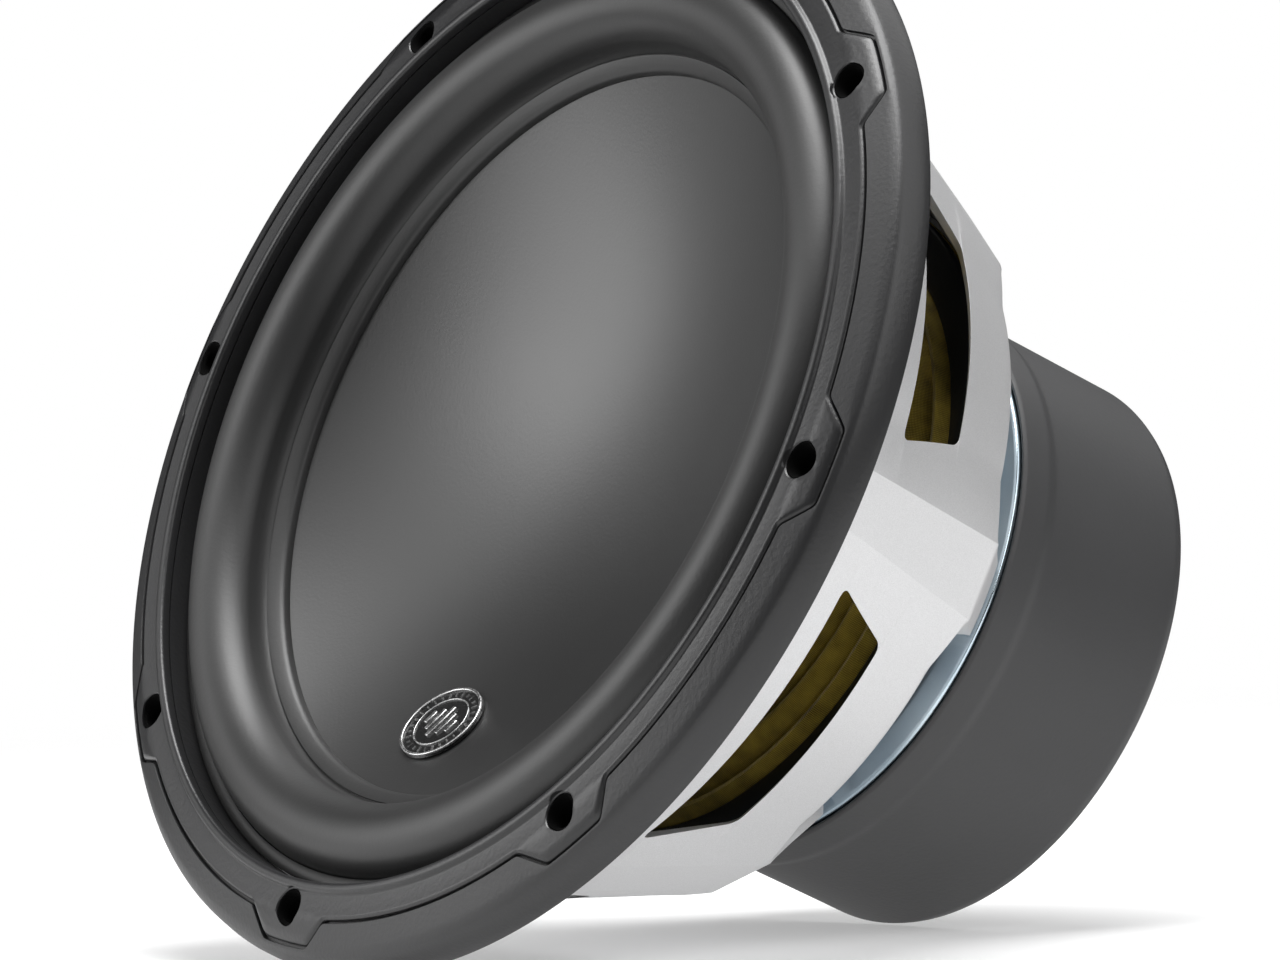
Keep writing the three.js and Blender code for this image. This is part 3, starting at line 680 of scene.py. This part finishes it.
def make_trim_ring():
    """The outer ring; a groove 0.8 wide and 1.7 deep follows the gasket's outline in its face."""
    angle = flange_columns()
    edge = gasket_edge(angle)
    rows = [(RING_HOLE, 151.3), (131.4, 151.3), (131.4, SEAT)]
    rows += [(FLANGE_RADIUS - 0.5, SEAT), (FLANGE_RADIUS - 0.1, SEAT + 0.2), (FLANGE_RADIUS, SEAT + 0.7)]
    rows += [(FLANGE_RADIUS - 0.1, 151.0), (136.2, 153.8), (135.85, 154.9), (135.5, 155.5)]
    rows.append((FACE_EDGE, 156.1))
    for share in (0.7, 0.35, 0.0):
        radius = edge + 0.95 + share * (FACE_EDGE - edge - 0.95)
        rows.append((radius, face_height(radius)))
    rows += [(edge + 0.8, face_height(edge + 0.8) - 0.3), (edge + 0.75, face_height(edge) - 1.7)]
    rows += [(edge - 1.0, face_height(edge) - 1.7), (125.0, 157.6), (RING_HOLE, 157.6)]
    piece = flange_piece("trim_ring_moulding", rows, angle, TRIM_PLASTIC)
    drill(piece, TRIM_BOLT_HOLE, SEAT + 1, TRIM_TOP + 1, bolt_centres())
    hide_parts("trim_ring")
    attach(piece, "basket")


def make_gasket():
    """The rubber face: a rounded bead at its hole, a level face and a bevelled edge with tabs."""
    angle = flange_columns()
    edge = gasket_edge(angle)
    rows = [(RING_HOLE, 158.0), (125.0, 158.0), (edge - 0.05, face_height(edge) - 1.3)]
    rows += [(edge, face_height(edge) - 0.7), (edge - 0.15, face_height(edge) - 0.4)]
    for share in (1.0, 0.75, 0.5, 0.25, 0.0):
        radius = BOLT_CIRCLE + share * (edge - 0.8 - BOLT_CIRCLE)
        rows.append((radius, face_height(radius)))
    rows += [(121.9, GASKET_FACE), (121.5, 159.36), (121.25, 159.6), (121.05, 160.05)]
    rows += [(120.7, 160.4), (120.2, LIP_TOP - 0.05), (119.5, LIP_TOP), (118.95, 160.4)]
    rows += [(118.7, 160.1), (RING_HOLE, 159.6)]
    piece = flange_piece("gasket_moulding", rows, angle, GASKET_RUBBER)
    drill(piece, GASKET_BOLT_HOLE, 155, GASKET_FACE, bolt_centres(), countersink=0.25)
    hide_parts("mounting_gasket")
    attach(piece, "basket")


def make_hole_shade_sleeves():
    """A near-black, matt tube in each bolt hole, from the basket's flange to just under the gasket's face:
    painted shade that makes the holes read dark.
    """
    inside, outside, collar = 2.7, 3.5, 4.4
    profile = [(inside, SEAT + 0.5), (outside, SEAT + 0.5), (outside, 157.65), (collar, 157.65)]
    profile = np.array(profile + [(collar, 158.95), (collar - 0.3, 158.95), (3.4, 157.4)])
    faces = grid_faces(len(profile), TINY, wrap_rows=True)
    for k, (x, y) in enumerate(bolt_centres()):
        points = turned(profile, TINY) + [x, y, 0]
        below_face = face_height(np.hypot(points[:, 0], points[:, 1])) - 0.35
        points[:, 2] = np.minimum(points[:, 2], below_face)
        piece = make_piece(f"hole_shade_sleeve_{k + 1}", points, faces, HOLE_SHADE)
        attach(piece, "basket")


# ---- Surround, cone and spider -------------------------------------------------------------

ROLL_CENTRE, ROLL_HALF, ROLL_BASE, ROLL_HEIGHT = 105.6, 9.6, 149.8, 10.0
DISH_BOTTOM, DISH_DEPTH, DISH_EDGE = 116.0, 28.0, 93.2
ROLL_WALL = 1.4


def dish_height(radius):
    """The dish is a paraboloid: its height grows with the square of the radius."""
    return DISH_BOTTOM + DISH_DEPTH * (np.asarray(radius) / DISH_EDGE) ** 2


def roll(grow):
    """Half an ellipse from the basket side to the cone side, in 40 points."""
    turn = np.linspace(0, math.pi, 40)
    r = ROLL_CENTRE + (ROLL_HALF + grow) * np.cos(turn)
    z = ROLL_BASE + (ROLL_HEIGHT + grow) * np.sin(turn)
    return np.stack([r, z], axis=-1)


def radial_blend(piece, inner, outer):
    """Bakes the ring's place into its mesh and works out, for each point, a share that falls smoothly
    from 1 at the inner radius to 0 at the outer one. The share is not used."""
    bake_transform(piece)
    count = len(piece.data.vertices)
    points = np.zeros(count * 3)
    piece.data.vertices.foreach_get("co", points)
    points = points.reshape(-1, 3) / MM
    share = np.clip((outer - np.hypot(points[:, 0], points[:, 1])) / (outer - inner), 0, 1)
    share = share * share * (3 - 2 * share)


def make_surround():
    """From the basket inwards: a foot on the flange, the roll, a fold, and a skirt on the cone."""
    rim = float(dish_height(DISH_EDGE)) + 0.9
    start, fold = 2, 38  # the roll's first and last points that are used
    outside = roll(0)[start:fold]
    skirt = [(96.15, 149.6), (95.85, 148.3), (95.5, 146.9), (95.2, 146.5), (94.9, 146.55)]
    skirt += [(94.7, 146.95), (94.2, 146.75), (93.0, 146.05), (92.1, 145.5), (91.5, 145.0)]
    skirt += [(91.15, 144.3), (91.1, float(dish_height(91.1)) + 0.1), (93.0, rim - 0.5), (97.0, rim)]
    landing = [(ROLL_CENTRE + ROLL_HALF - ROLL_WALL, 151.35), (118.1, 151.35), (118.3, 152.6)]
    landing += [(117.9, 152.9), (115.6, 152.95), (115.1, 152.7)]
    under = roll(-ROLL_WALL)[::-1]
    profile = np.vstack([landing, outside, skirt, under[1:-3]])
    piece = ring_piece("surround_roll", profile, ROLL_RUBBER, sharp=50)
    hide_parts("surround")
    radial_blend(piece, 97.2, 113.6)


def make_cone():
    """The dish: its front, the lip round its rim, and its back 1.2 lower than the front."""
    radii = np.r_[np.linspace(0, 88, 45), np.linspace(89, DISH_EDGE, 6)]
    front = np.stack([radii, dish_height(radii)], axis=-1)
    rim = float(dish_height(DISH_EDGE))
    lip = [(93.6, rim + 0.5), (94.0, rim + 0.6), (96.7, rim + 0.6), (96.9, rim + 0.4), (96.9, rim - 0.4)]
    lip += [(96.6, rim - 0.6), (94, rim - 0.8)]
    back = front[::-1] - [0, 1.2]
    profile = np.vstack([back[::-1], lip[::-1], front[::-1]])
    piece = disc_piece("cone_dish", profile, CONE_SKIN, sharp=50)
    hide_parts("cone")
    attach(piece, "cone")


def make_spider():
    """Cloth in five cosine rolls between the collar and the foot on the shelf."""
    inner, outer, middle, wave, rolls = 28.8, 75.6, 84.0, 3.4, 5
    radius = np.linspace(inner, outer, 16 * rolls + 1)
    height = middle + wave * np.cos((radius - inner) / (outer - inner) * 2 * math.pi * rolls)
    foot = np.array([(76.6, 83.4), (77.0, 81.5), (77.4, 81.1), (87.3, 81.0)])
    line = np.vstack([np.stack([radius, height], -1), foot])
    along = np.gradient(line, axis=0)
    normal = np.stack([-along[:, 1], along[:, 0]], -1) / np.hypot(*along.T)[:, None]
    profile = np.vstack([line - 0.3 * normal, (line + 0.3 * normal)[::-1]])
    piece = ring_piece("spider_folds", profile, CLOTH, columns=192, sharp=70)
    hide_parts("spider")
    radial_blend(piece, 31.0, 76.0)


# ---- Motor ---------------------------------------------------------------------------------


BOOT_SIDE = MOTOR_RADIUS - 0.7  # the boot's wall; only the band round its lip stands out further
BOOT_HOLE = 20
PLATE_HOLE = 29.2


def make_motor():
    """The rubber boot, with a band round its lip, and the plated disc that closes the motor."""
    inner = MOTOR_RADIUS - 3.3
    mouth = PLATE_RADIUS + 0.3
    profile = [
        (BOOT_HOLE, 0.4),
        (BOOT_SIDE - 3.4, 0),
        (BOOT_SIDE - 1.0, 0.7),
        (BOOT_SIDE, 3.2),
        (BOOT_SIDE, 43.6),
        (MOTOR_RADIUS, 46.2),
        (MOTOR_RADIUS - 0.1, 53.6),
        (MOTOR_RADIUS - 0.6, BOOT_LIP),
        (mouth, BOOT_LIP),
        (mouth, 49.6),
        (inner, 48.4),
        (inner, 2.7),
        (BOOT_HOLE, 2.7),
    ]
    boot = ring_piece("boot_moulding", rounded(profile, 1.6, steps=6), BOOT_RUBBER, sharp=60)
    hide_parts("motor_boot")
    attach(boot, "basket")

    bottom = low_of("top_plate")
    plate = [(PLATE_HOLE, bottom), (PLATE_RADIUS, bottom), (PLATE_RADIUS, BOOT_LIP + 0.9)]
    plate += [(PLATE_RADIUS - 0.6, BOOT_LIP + 1.4), (PLATE_RADIUS - 5, PLATE_TOP)]
    plate.append((PLATE_HOLE, PLATE_TOP))
    top_plate = ring_piece("top_plate_disc", rounded(plate, 0.5), ZINC)
    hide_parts("top_plate")
    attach(top_plate, "basket")


# ---- Badge ---------------------------------------------------------------------------------

BADGE_AT, BADGE_TURN, BADGE_RADIUS = 71.7, math.radians(174), 11.3
BADGE_LOW, BADGE_FACE, BADGE_TOP = 0.2, 1.3, 1.8
TICKS, TICK_CIRCLE = 28, 9.0
BAR_PITCH = 2.3


def on_badge(piece, node):
    """Lays a piece made round the origin on the dish's slope: local Y points to the axis. A piece
    that has a CAD node takes its place."""
    slope = math.atan(2 * DISH_DEPTH * BADGE_AT / DISH_EDGE**2)
    centre = Vector((BADGE_AT * math.cos(BADGE_TURN), BADGE_AT * math.sin(BADGE_TURN), 0))
    centre.z = float(dish_height(BADGE_AT))
    turn = Matrix.Rotation(BADGE_TURN + math.pi / 2, 4, "Z") @ Matrix.Rotation(-slope, 4, "X")
    piece.data.transform(Matrix.Translation(centre * MM) @ turn)
    if node:
        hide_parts(node)
    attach(piece, "cone")


def bar_points(bars):
    """Points and faces of upright bars: each has a centre, a turn, a half length and a half width,
    and stands from just inside the badge's face to the given height."""
    points, faces = [], []
    for x, y, turn, half_length, half_width, top in bars:
        across = np.array([math.cos(turn), math.sin(turn)]) * half_width
        along = np.array([-math.sin(turn), math.cos(turn)]) * half_length
        corners = np.array([-across - along, across - along, across + along, -across + along])
        corners = corners + [x, y]
        start = len(points) * 8
        points.append(np.vstack([np.c_[corners, np.full(4, z)] for z in (BADGE_FACE - 0.2, top)]))
        low, high = range(start, start + 4), range(start + 4, start + 8)
        faces += [[low[k - 1], low[k], high[k], high[k - 1]] for k in (1, 2, 3, 0)]
        faces += [low[::-1], high]
    return np.vstack(points), faces


def make_badge():
    """A dark disc with a silver rim, an inner silver ring, ticks between them and a bar graph."""
    disc = [(0, BADGE_LOW), (BADGE_RADIUS - 0.3, BADGE_LOW), (BADGE_RADIUS, BADGE_LOW + 0.3)]
    disc += [(BADGE_RADIUS, BADGE_FACE - 0.5), (BADGE_RADIUS - 0.5, BADGE_FACE), (0, BADGE_FACE)]
    on_badge(disc_piece("badge_body", disc, BADGE_BLACK, columns=SMALL), "badge_disc")
    rims = []
    for inner, outer, top in ((10.4, 11.15, BADGE_TOP), (7.3, 7.65, BADGE_FACE + 0.35)):
        foot = BADGE_FACE - 0.2
        rims.append(rounded([(inner, foot), (outer, foot), (outer, top), (inner, top)], 0.25))
    outer_rim = ring_piece("badge_outer_ring", rims[0], BADGE_SILVER, columns=SMALL)
    on_badge(outer_rim, "badge_rim")
    inner_rim = ring_piece("badge_inner_ring", rims[1], BADGE_SILVER, columns=SMALL)
    on_badge(inner_rim, None)
    ticks = []
    for k in range(TICKS):
        turn = k * 2 * math.pi / TICKS
        x, y = -TICK_CIRCLE * math.sin(turn), TICK_CIRCLE * math.cos(turn)
        length = 0.75 if k % 2 else 0.5
        ticks.append((x, y, turn, length, 0.22, BADGE_FACE + 0.2))
    tick_piece = make_piece("badge_ticks", *bar_points(ticks), BADGE_SILVER)
    on_badge(tick_piece, None)
    heights = (1.9, 3.4, 4.9, 3.4, 1.9)
    top = BADGE_FACE + 0.5
    bars = [(BAR_PITCH * (k - 2), 0, 0, half, 0.62, top) for k, half in enumerate(heights)]
    emblem = make_piece("badge_bar_graph", *bar_points(bars), BADGE_SILVER)
    apply_modifier(emblem, "BEVEL", width=0.15 * MM, segments=2, limit_method="ANGLE")
    on_badge(emblem, "badge_emblem")


# ---- Terminals and leads -------------------------------------------------------------------

BLOCK_LOW, BLOCK_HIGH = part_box("terminal_block")
WELL_X, WIRE_HOLE_X = 6.0, 14.6  # on either side of the middle
PAD_HALF, PAD_LOW, PAD_HIGH = 19, 84, 112
LEAD_RADIUS = 0.85
LEAD_SIDES = 24
BRAID_TWIST = 1.6  # radians per millimetre of lead


def make_pad():
    """The flat pad on the basket that carries the terminal block, hollowed to the wall's inside."""
    outline = rectangle(86, BLOCK_LOW.y / MM - 0.3, PAD_LOW, PAD_HIGH)
    pad = prism("terminal_pad", outline, -PAD_HALF, PAD_HALF, PAINT, soft=1.2)
    inside = [(0, 80), (89.0, 80), (103.2, 114), (0, 114)]
    take_away(pad, disc_piece("pad_cutter", inside, PAINT, columns=SMALL))
    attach(pad, "basket")


def make_terminals():
    """The block with its two wells and wire holes, and the two buttons."""
    low, high = BLOCK_LOW / MM, BLOCK_HIGH / MM
    outline = rectangle(low.y, high.y, low.z, high.z)
    block = prism("terminal_block_moulding", outline, low.x, high.x, BLACK_PLASTIC, soft=0.8)
    well, half_well = rectangle(115.5, 123.6, 92, 120), 4.7
    for x in (-WELL_X, WELL_X):
        tool = prism("well", well, x - half_well, x + half_well, BLACK_PLASTIC, soft=0)
        take_away(block, tool)
    bores = [(x, 95.6, 2.2, 121) for x in (-WELL_X, WELL_X)]
    bores += [(x, 98, 1.9, 105) for x in (-WIRE_HOLE_X, WIRE_HOLE_X)]
    for x, z, radius, start in bores:
        profile = [(0, start), (radius, start), (radius, 135), (0, 135)]
        bore = disc_piece("bore", profile, BLACK_PLASTIC, columns=TINY)
        bore.data.transform(Matrix.Translation((x * MM, 0, z * MM)) @ Matrix.Rotation(-math.pi / 2, 4, "X"))
        take_away(block, bore)
    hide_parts("terminal_block")
    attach(block, "basket")
    make_button("positive", RED_PLASTIC)
    make_button("negative", BLACK_PLASTIC)


def make_button(name, material):
    """A push button: a bar with three ridges across its top, near its outer end."""
    node = f"push_button_{name}"
    low, high = (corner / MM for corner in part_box(node))
    crown = high.z - 0.8
    outline = [(low.y, low.z), (high.y, low.z), (high.y, crown)]
    for y in (high.y - 1.4, high.y - 2.8, high.y - 4.2):
        outline += [(y, crown), (y - 0.1, high.z), (y - 0.6, high.z), (y - 0.7, crown)]
    outline.append((low.y, crown))
    button = prism(f"button_{name}", outline, low.x, high.x, material, soft=0.25)
    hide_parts(node)
    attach(button, f"button_{name}")


def smooth_path(knots, steps):
    """A curve through the knots: each stretch is a cubic whose slopes are half the step between
    the knots on either side."""
    knots = np.asarray(knots, float)
    ends = np.vstack([2 * knots[0] - knots[1], knots, 2 * knots[-1] - knots[-2]])
    out = []
    for a, b, c, d in zip(ends, ends[1:], ends[2:], ends[3:]):
        for t in np.linspace(0, 1, steps, endpoint=False):
            square = (2 * a - 5 * b + 4 * c - d) * t**2
            cube = (3 * b - a - 3 * c + d) * t**3
            out.append(0.5 * (2 * b + (c - a) * t + square + cube))
    return np.vstack([out, knots[-1]])


def tube_along(path, sides, radius, beside=(1, 0, 0)):
    """Points and faces of a closed tube: at each point of the path, a ring of sides points square to
    the path, whose radius is one number or one for each side. The first point of each ring is square
    to the direction beside, which the path never follows. A cap ends each end."""
    along = np.gradient(path, axis=0)
    along /= np.linalg.norm(along, axis=1)[:, None]
    across = np.cross(along, beside)
    across /= np.linalg.norm(across, axis=1)[:, None]
    third = np.cross(along, across)
    angle = np.linspace(0, 2 * math.pi, sides, endpoint=False)
    ring = across[:, None] * np.cos(angle)[:, None] + third[:, None] * np.sin(angle)[:, None]
    radius = np.broadcast_to(radius, (len(path), sides))
    points = (path[:, None] + ring * radius[..., None]).reshape(-1, 3)
    faces = grid_faces(len(path), sides, wrap_rows=False).tolist()
    last = (len(path) - 1) * sides
    faces += [list(range(sides))[::-1], list(range(last, last + sides))]
    return points, faces


def make_leads():
    """Braided copper tinsel: a tube round its path whose radius dips where its two sets of turns,
    one left-handed and one right-handed, cross."""
    for name, side in (("positive", 1), ("negative", -1)):
        x = side * WELL_X
        knots = [(x, 91.5, 95.1), (x, 84, 96.6), (x + side, 72, 101.6), (x + 1.5 * side, 58, 102.1)]
        knots += [(x + side, 46, 97.6), (x, 36, 94.6), (x, 31.8, 93.6)]
        path = smooth_path(knots, 36)
        length = np.r_[0, np.cumsum(np.linalg.norm(np.diff(path, axis=0), axis=1))]
        angle = np.linspace(0, 2 * math.pi, LEAD_SIDES, endpoint=False)
        twist = length[:, None] * BRAID_TWIST
        weave = np.abs(np.cos(2 * angle + twist) * np.cos(2 * angle - twist))
        points, faces = tube_along(path, LEAD_SIDES, LEAD_RADIUS * (0.86 + 0.14 * weave))
        lead = make_piece(f"braided_lead_{name}", points, faces, COPPER_BRAID, sharp=80)
        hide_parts(f"tinsel_lead_{name}")
        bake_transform(lead)


def make_springs():
    """Each button's spring: a helix (r cos a, r sin a, rising evenly) of round wire."""
    for name in ("positive", "negative"):
        node = f"button_spring_{name}"
        low, high = (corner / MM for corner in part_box(node))
        centre = (low + high) / 2
        wire, turns = 0.4, 3.5
        radius = (high.x - low.x) / 2 - wire
        turn = np.linspace(0, 2 * math.pi * turns, 120)
        rise = np.linspace(low.z + wire, high.z - wire, len(turn))
        path = np.stack([centre.x + radius * np.cos(turn), centre.y + radius * np.sin(turn), rise], -1)
        points, faces = tube_along(path, 12, wire, beside=(0, 0, 1))
        spring = make_piece(f"spring_{name}", points, faces, STEEL, sharp=80)
        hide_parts(node)
        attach(spring, "basket")
        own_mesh(spring)


def make_clamp_ring():
    """The plastic ring that holds the spider's foot on the basket's shelf."""
    low, high = low_of("spider_clamp_ring"), high_of("spider_clamp_ring")
    inner, outer = 77.6, radius_of("spider_clamp_ring")
    profile = [(inner, low), (outer, low), (outer, high), (inner, high)]
    ring = ring_piece("clamp_ring_moulding", rounded(profile, 0.7), BLACK_PLASTIC)
    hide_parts("spider_clamp_ring")
    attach(ring, "basket")


# ---- Finish of the CAD pieces that stay ----------------------------------------------------


def dress_cad_nodes():
    """Gives every CAD node the finish of its material slot."""
    by_slot = {
        "steel": STEEL,
        "aluminium": ALUMINIUM,
        "ferrite": FERRITE,
        "copper_wire": COPPER_TURNS,
        "cone_skin": CONE_SKIN,
        "black_plastic": BLACK_PLASTIC,
        "red_plastic": RED_PLASTIC,
        "badge_black": BADGE_BLACK,
        "badge_silver": BADGE_SILVER,
        "brass": BRASS,
        "lead_braid": COPPER_BRAID,
        "basket_paint": PAINT,
        "zinc_plate": ZINC,
        "spider_cloth": CLOTH,
        "surround_rubber": ROLL_RUBBER,
        "boot_rubber": BOOT_RUBBER,
        "gasket_rubber": GASKET_RUBBER,
        "charcoal_plastic": TRIM_PLASTIC,
    }
    for part in frame["record"]["subparts"]:
        node = frame["nodes"][part["node"]]
        node.data.materials.clear()
        node.data.materials.append(by_slot[part["material_slot"]])


# ---- Studio --------------------------------------------------------------------------------

CAMERA_AT = Vector((-249.1, -1513.0, 1135.8)) * MM
CAMERA_FORWARD = Vector((0.1354, 0.8205, -0.5554))
CAMERA_UP = Vector((0.9216, 0.1015, 0.3746))
CAMERA_LENS = 219.5  # on a 36 mm wide sensor


def make_camera():
    """The camera, and the directions right, up and back as it sees them."""
    back = -CAMERA_FORWARD.normalized()
    right = CAMERA_UP.cross(back).normalized()
    up = back.cross(right)
    data = bpy.data.cameras.new("camera")
    data.lens = CAMERA_LENS
    data.sensor_width = 36.0
    data.clip_end = 20.0
    camera = bpy.data.objects.new("camera", data)
    turn = Matrix((right, up, back)).transposed().to_4x4()
    camera.matrix_world = Matrix.Translation(CAMERA_AT) @ turn
    bpy.context.scene.collection.objects.link(camera)
    bpy.context.scene.camera = camera
    return right, up, back


# The floor touches the flange's rim and the boot's rear edge on the side the speaker leans to.
LEAN = math.radians(187.0)
TOUCH_ON_FLANGE, TOUCH_ON_BOOT = 150, 2.5  # heights at which the floor meets the speaker
FLOOR_RADIUS = 1600.0
FLOOR_GAP = 0.4


def floor_frame():
    """The floor's middle, two directions along it, and the one from it up to the speaker."""
    down = Vector((math.cos(LEAN), math.sin(LEAN), 0))
    on_flange = down * FLANGE_RADIUS * MM + Vector((0, 0, TOUCH_ON_FLANGE * MM))
    on_motor = down * BOOT_SIDE * MM + Vector((0, 0, TOUCH_ON_BOOT * MM))
    along = (on_flange - on_motor).normalized()
    across = Vector((0, 0, 1)).cross(down).normalized()
    normal = across.cross(along).normalized()
    if normal.dot(down) > 0:
        normal = -normal
    return (on_flange + on_motor) / 2, along, across, normal


def make_floor():
    """A round pale floor that fades out at its edge, is clear seen from below and casts no shadow.
    Its rings' radii grow with the power 1.5, so that they are closer near the speaker."""
    centre, along, across, normal = floor_frame()
    radii = (np.linspace(0, 1, 13) ** 1.5 * FLOOR_RADIUS)[1:]
    flat = turned(np.stack([radii, 0 * radii], -1), SMALL)[:, :2]
    flat = np.vstack([flat, [0, 0]])
    axes = np.array([along, across])
    points = np.array(centre) / MM + flat @ axes - FLOOR_GAP * np.array(normal)
    faces = grid_faces(len(radii), SMALL, wrap_rows=False).tolist()
    faces += [[len(flat) - 1, (j + 1) % SMALL, j] for j in range(SMALL)]
    finish = Finish("pale_floor", Roughness=0.9, Specular_IOR_Level=0.1)
    finish.shader.inputs["Base Color"].default_value = (0.6, 0.6, 0.6, 1)
    finish.shader.inputs["Emission Color"].default_value = (1, 1, 1, 1)
    finish.shader.inputs["Emission Strength"].default_value = 0.35
    share = np.hypot(*flat.T) / radii[-1]
    uv = np.stack([share, share], -1)
    floor = make_piece("floor", points, faces, finish.material, uv=uv)
    clear = finish.node("ShaderNodeBsdfTransparent")
    fade = finish.node("ShaderNodeMapRange", interpolation_type="SMOOTHSTEP")
    fade.inputs["From Min"].default_value = 0.25
    fade.inputs["From Max"].default_value = 0.9
    split = finish.node("ShaderNodeSeparateXYZ")
    finish.link(finish.coordinates.outputs["UV"], split.inputs["Vector"])
    finish.link(split.outputs["X"], fade.inputs["Value"])
    geometry = finish.node("ShaderNodeNewGeometry")
    most = finish.node("ShaderNodeMath", operation="MAXIMUM")
    finish.link(fade.outputs["Result"], most.inputs[0])
    finish.link(geometry.outputs["Backfacing"], most.inputs[1])
    mix = finish.node("ShaderNodeMixShader")
    finish.link(most.outputs[0], mix.inputs[0])
    finish.link(finish.shader.outputs[0], mix.inputs[1])
    finish.link(clear.outputs[0], mix.inputs[2])
    output = next(n for n in finish.tree.nodes if n.type == "OUTPUT_MATERIAL")
    finish.link(mix.outputs[0], output.inputs["Surface"])
    facing = floor.data.polygons[0].normal.dot(normal)
    if facing < 0:
        floor.data.flip_normals()
    floor.visible_shadow = False


def make_lights(right, up, back):
    """Soft boxes placed by how far right, up and towards the viewer they stand, in metres."""
    middle = Vector((0, 0, 0.1))
    boxes = [
        ("top_box", (0.0, 1.8, 0.0), 43.0),
        ("top_left_box", (-0.54, 1.71, 0.18), 11.0),
        ("top_right_box", (1.24, 1.24, 0.35), 7.2),
        ("back_box", (0.78, 1.37, -0.91), 5.6),
        ("front_box", (0.90, 0.90, 1.27), 9.1),
        ("left_box", (-1.76, 0.38, 0.11), 14.0),
        ("left_back_box", (-1.45, 1.05, 0.30), 6.5),
        ("rim_box", (-1.6, 0.35, -0.75), 2.5),
        ("floor_bounce", (0.35, -1.75, -0.1), 9.0),
    ]
    for name, (r, u, b), power in boxes:
        data = bpy.data.lights.new(name, "AREA")
        data.shape = "DISK"
        data.size = 1.3
        data.energy = power
        light = bpy.data.objects.new(name, data)
        light.location = middle + right * r + up * u + back * b
        light.rotation_euler = (light.location - middle).to_track_quat("Z", "Y").to_euler()
        bpy.context.scene.collection.objects.link(light)


def make_world():
    """White behind everything, and a dimmer even glow for what lights the speaker."""
    world = bpy.data.worlds.new("studio")
    world.use_nodes = True
    bpy.context.scene.world = world
    tree = world.node_tree
    glow = tree.nodes["Background"]
    glow.inputs["Color"].default_value = (1, 1, 1, 1)
    glow.inputs["Strength"].default_value = 0.01
    backdrop = tree.nodes.new("ShaderNodeBackground")
    backdrop.inputs["Color"].default_value = (1, 1, 1, 1)
    backdrop.inputs["Strength"].default_value = 1.0
    path = tree.nodes.new("ShaderNodeLightPath")
    mix = tree.nodes.new("ShaderNodeMixShader")
    tree.links.new(path.outputs["Is Camera Ray"], mix.inputs[0])
    tree.links.new(glow.outputs[0], mix.inputs[1])
    tree.links.new(backdrop.outputs[0], mix.inputs[2])
    output = next(n for n in tree.nodes if n.type == "OUTPUT_WORLD")
    tree.links.new(mix.outputs[0], output.inputs["Surface"])
    bpy.context.scene.view_settings.view_transform = "Standard"


make_lights(*make_camera())
make_world()
make_floor()
dress_cad_nodes()
make_basket()
make_trim_ring()
make_gasket()
make_hole_shade_sleeves()
make_surround()
make_cone()
make_spider()
make_motor()
make_badge()
make_pad()
make_terminals()
make_leads()
make_springs()
make_clamp_ring()
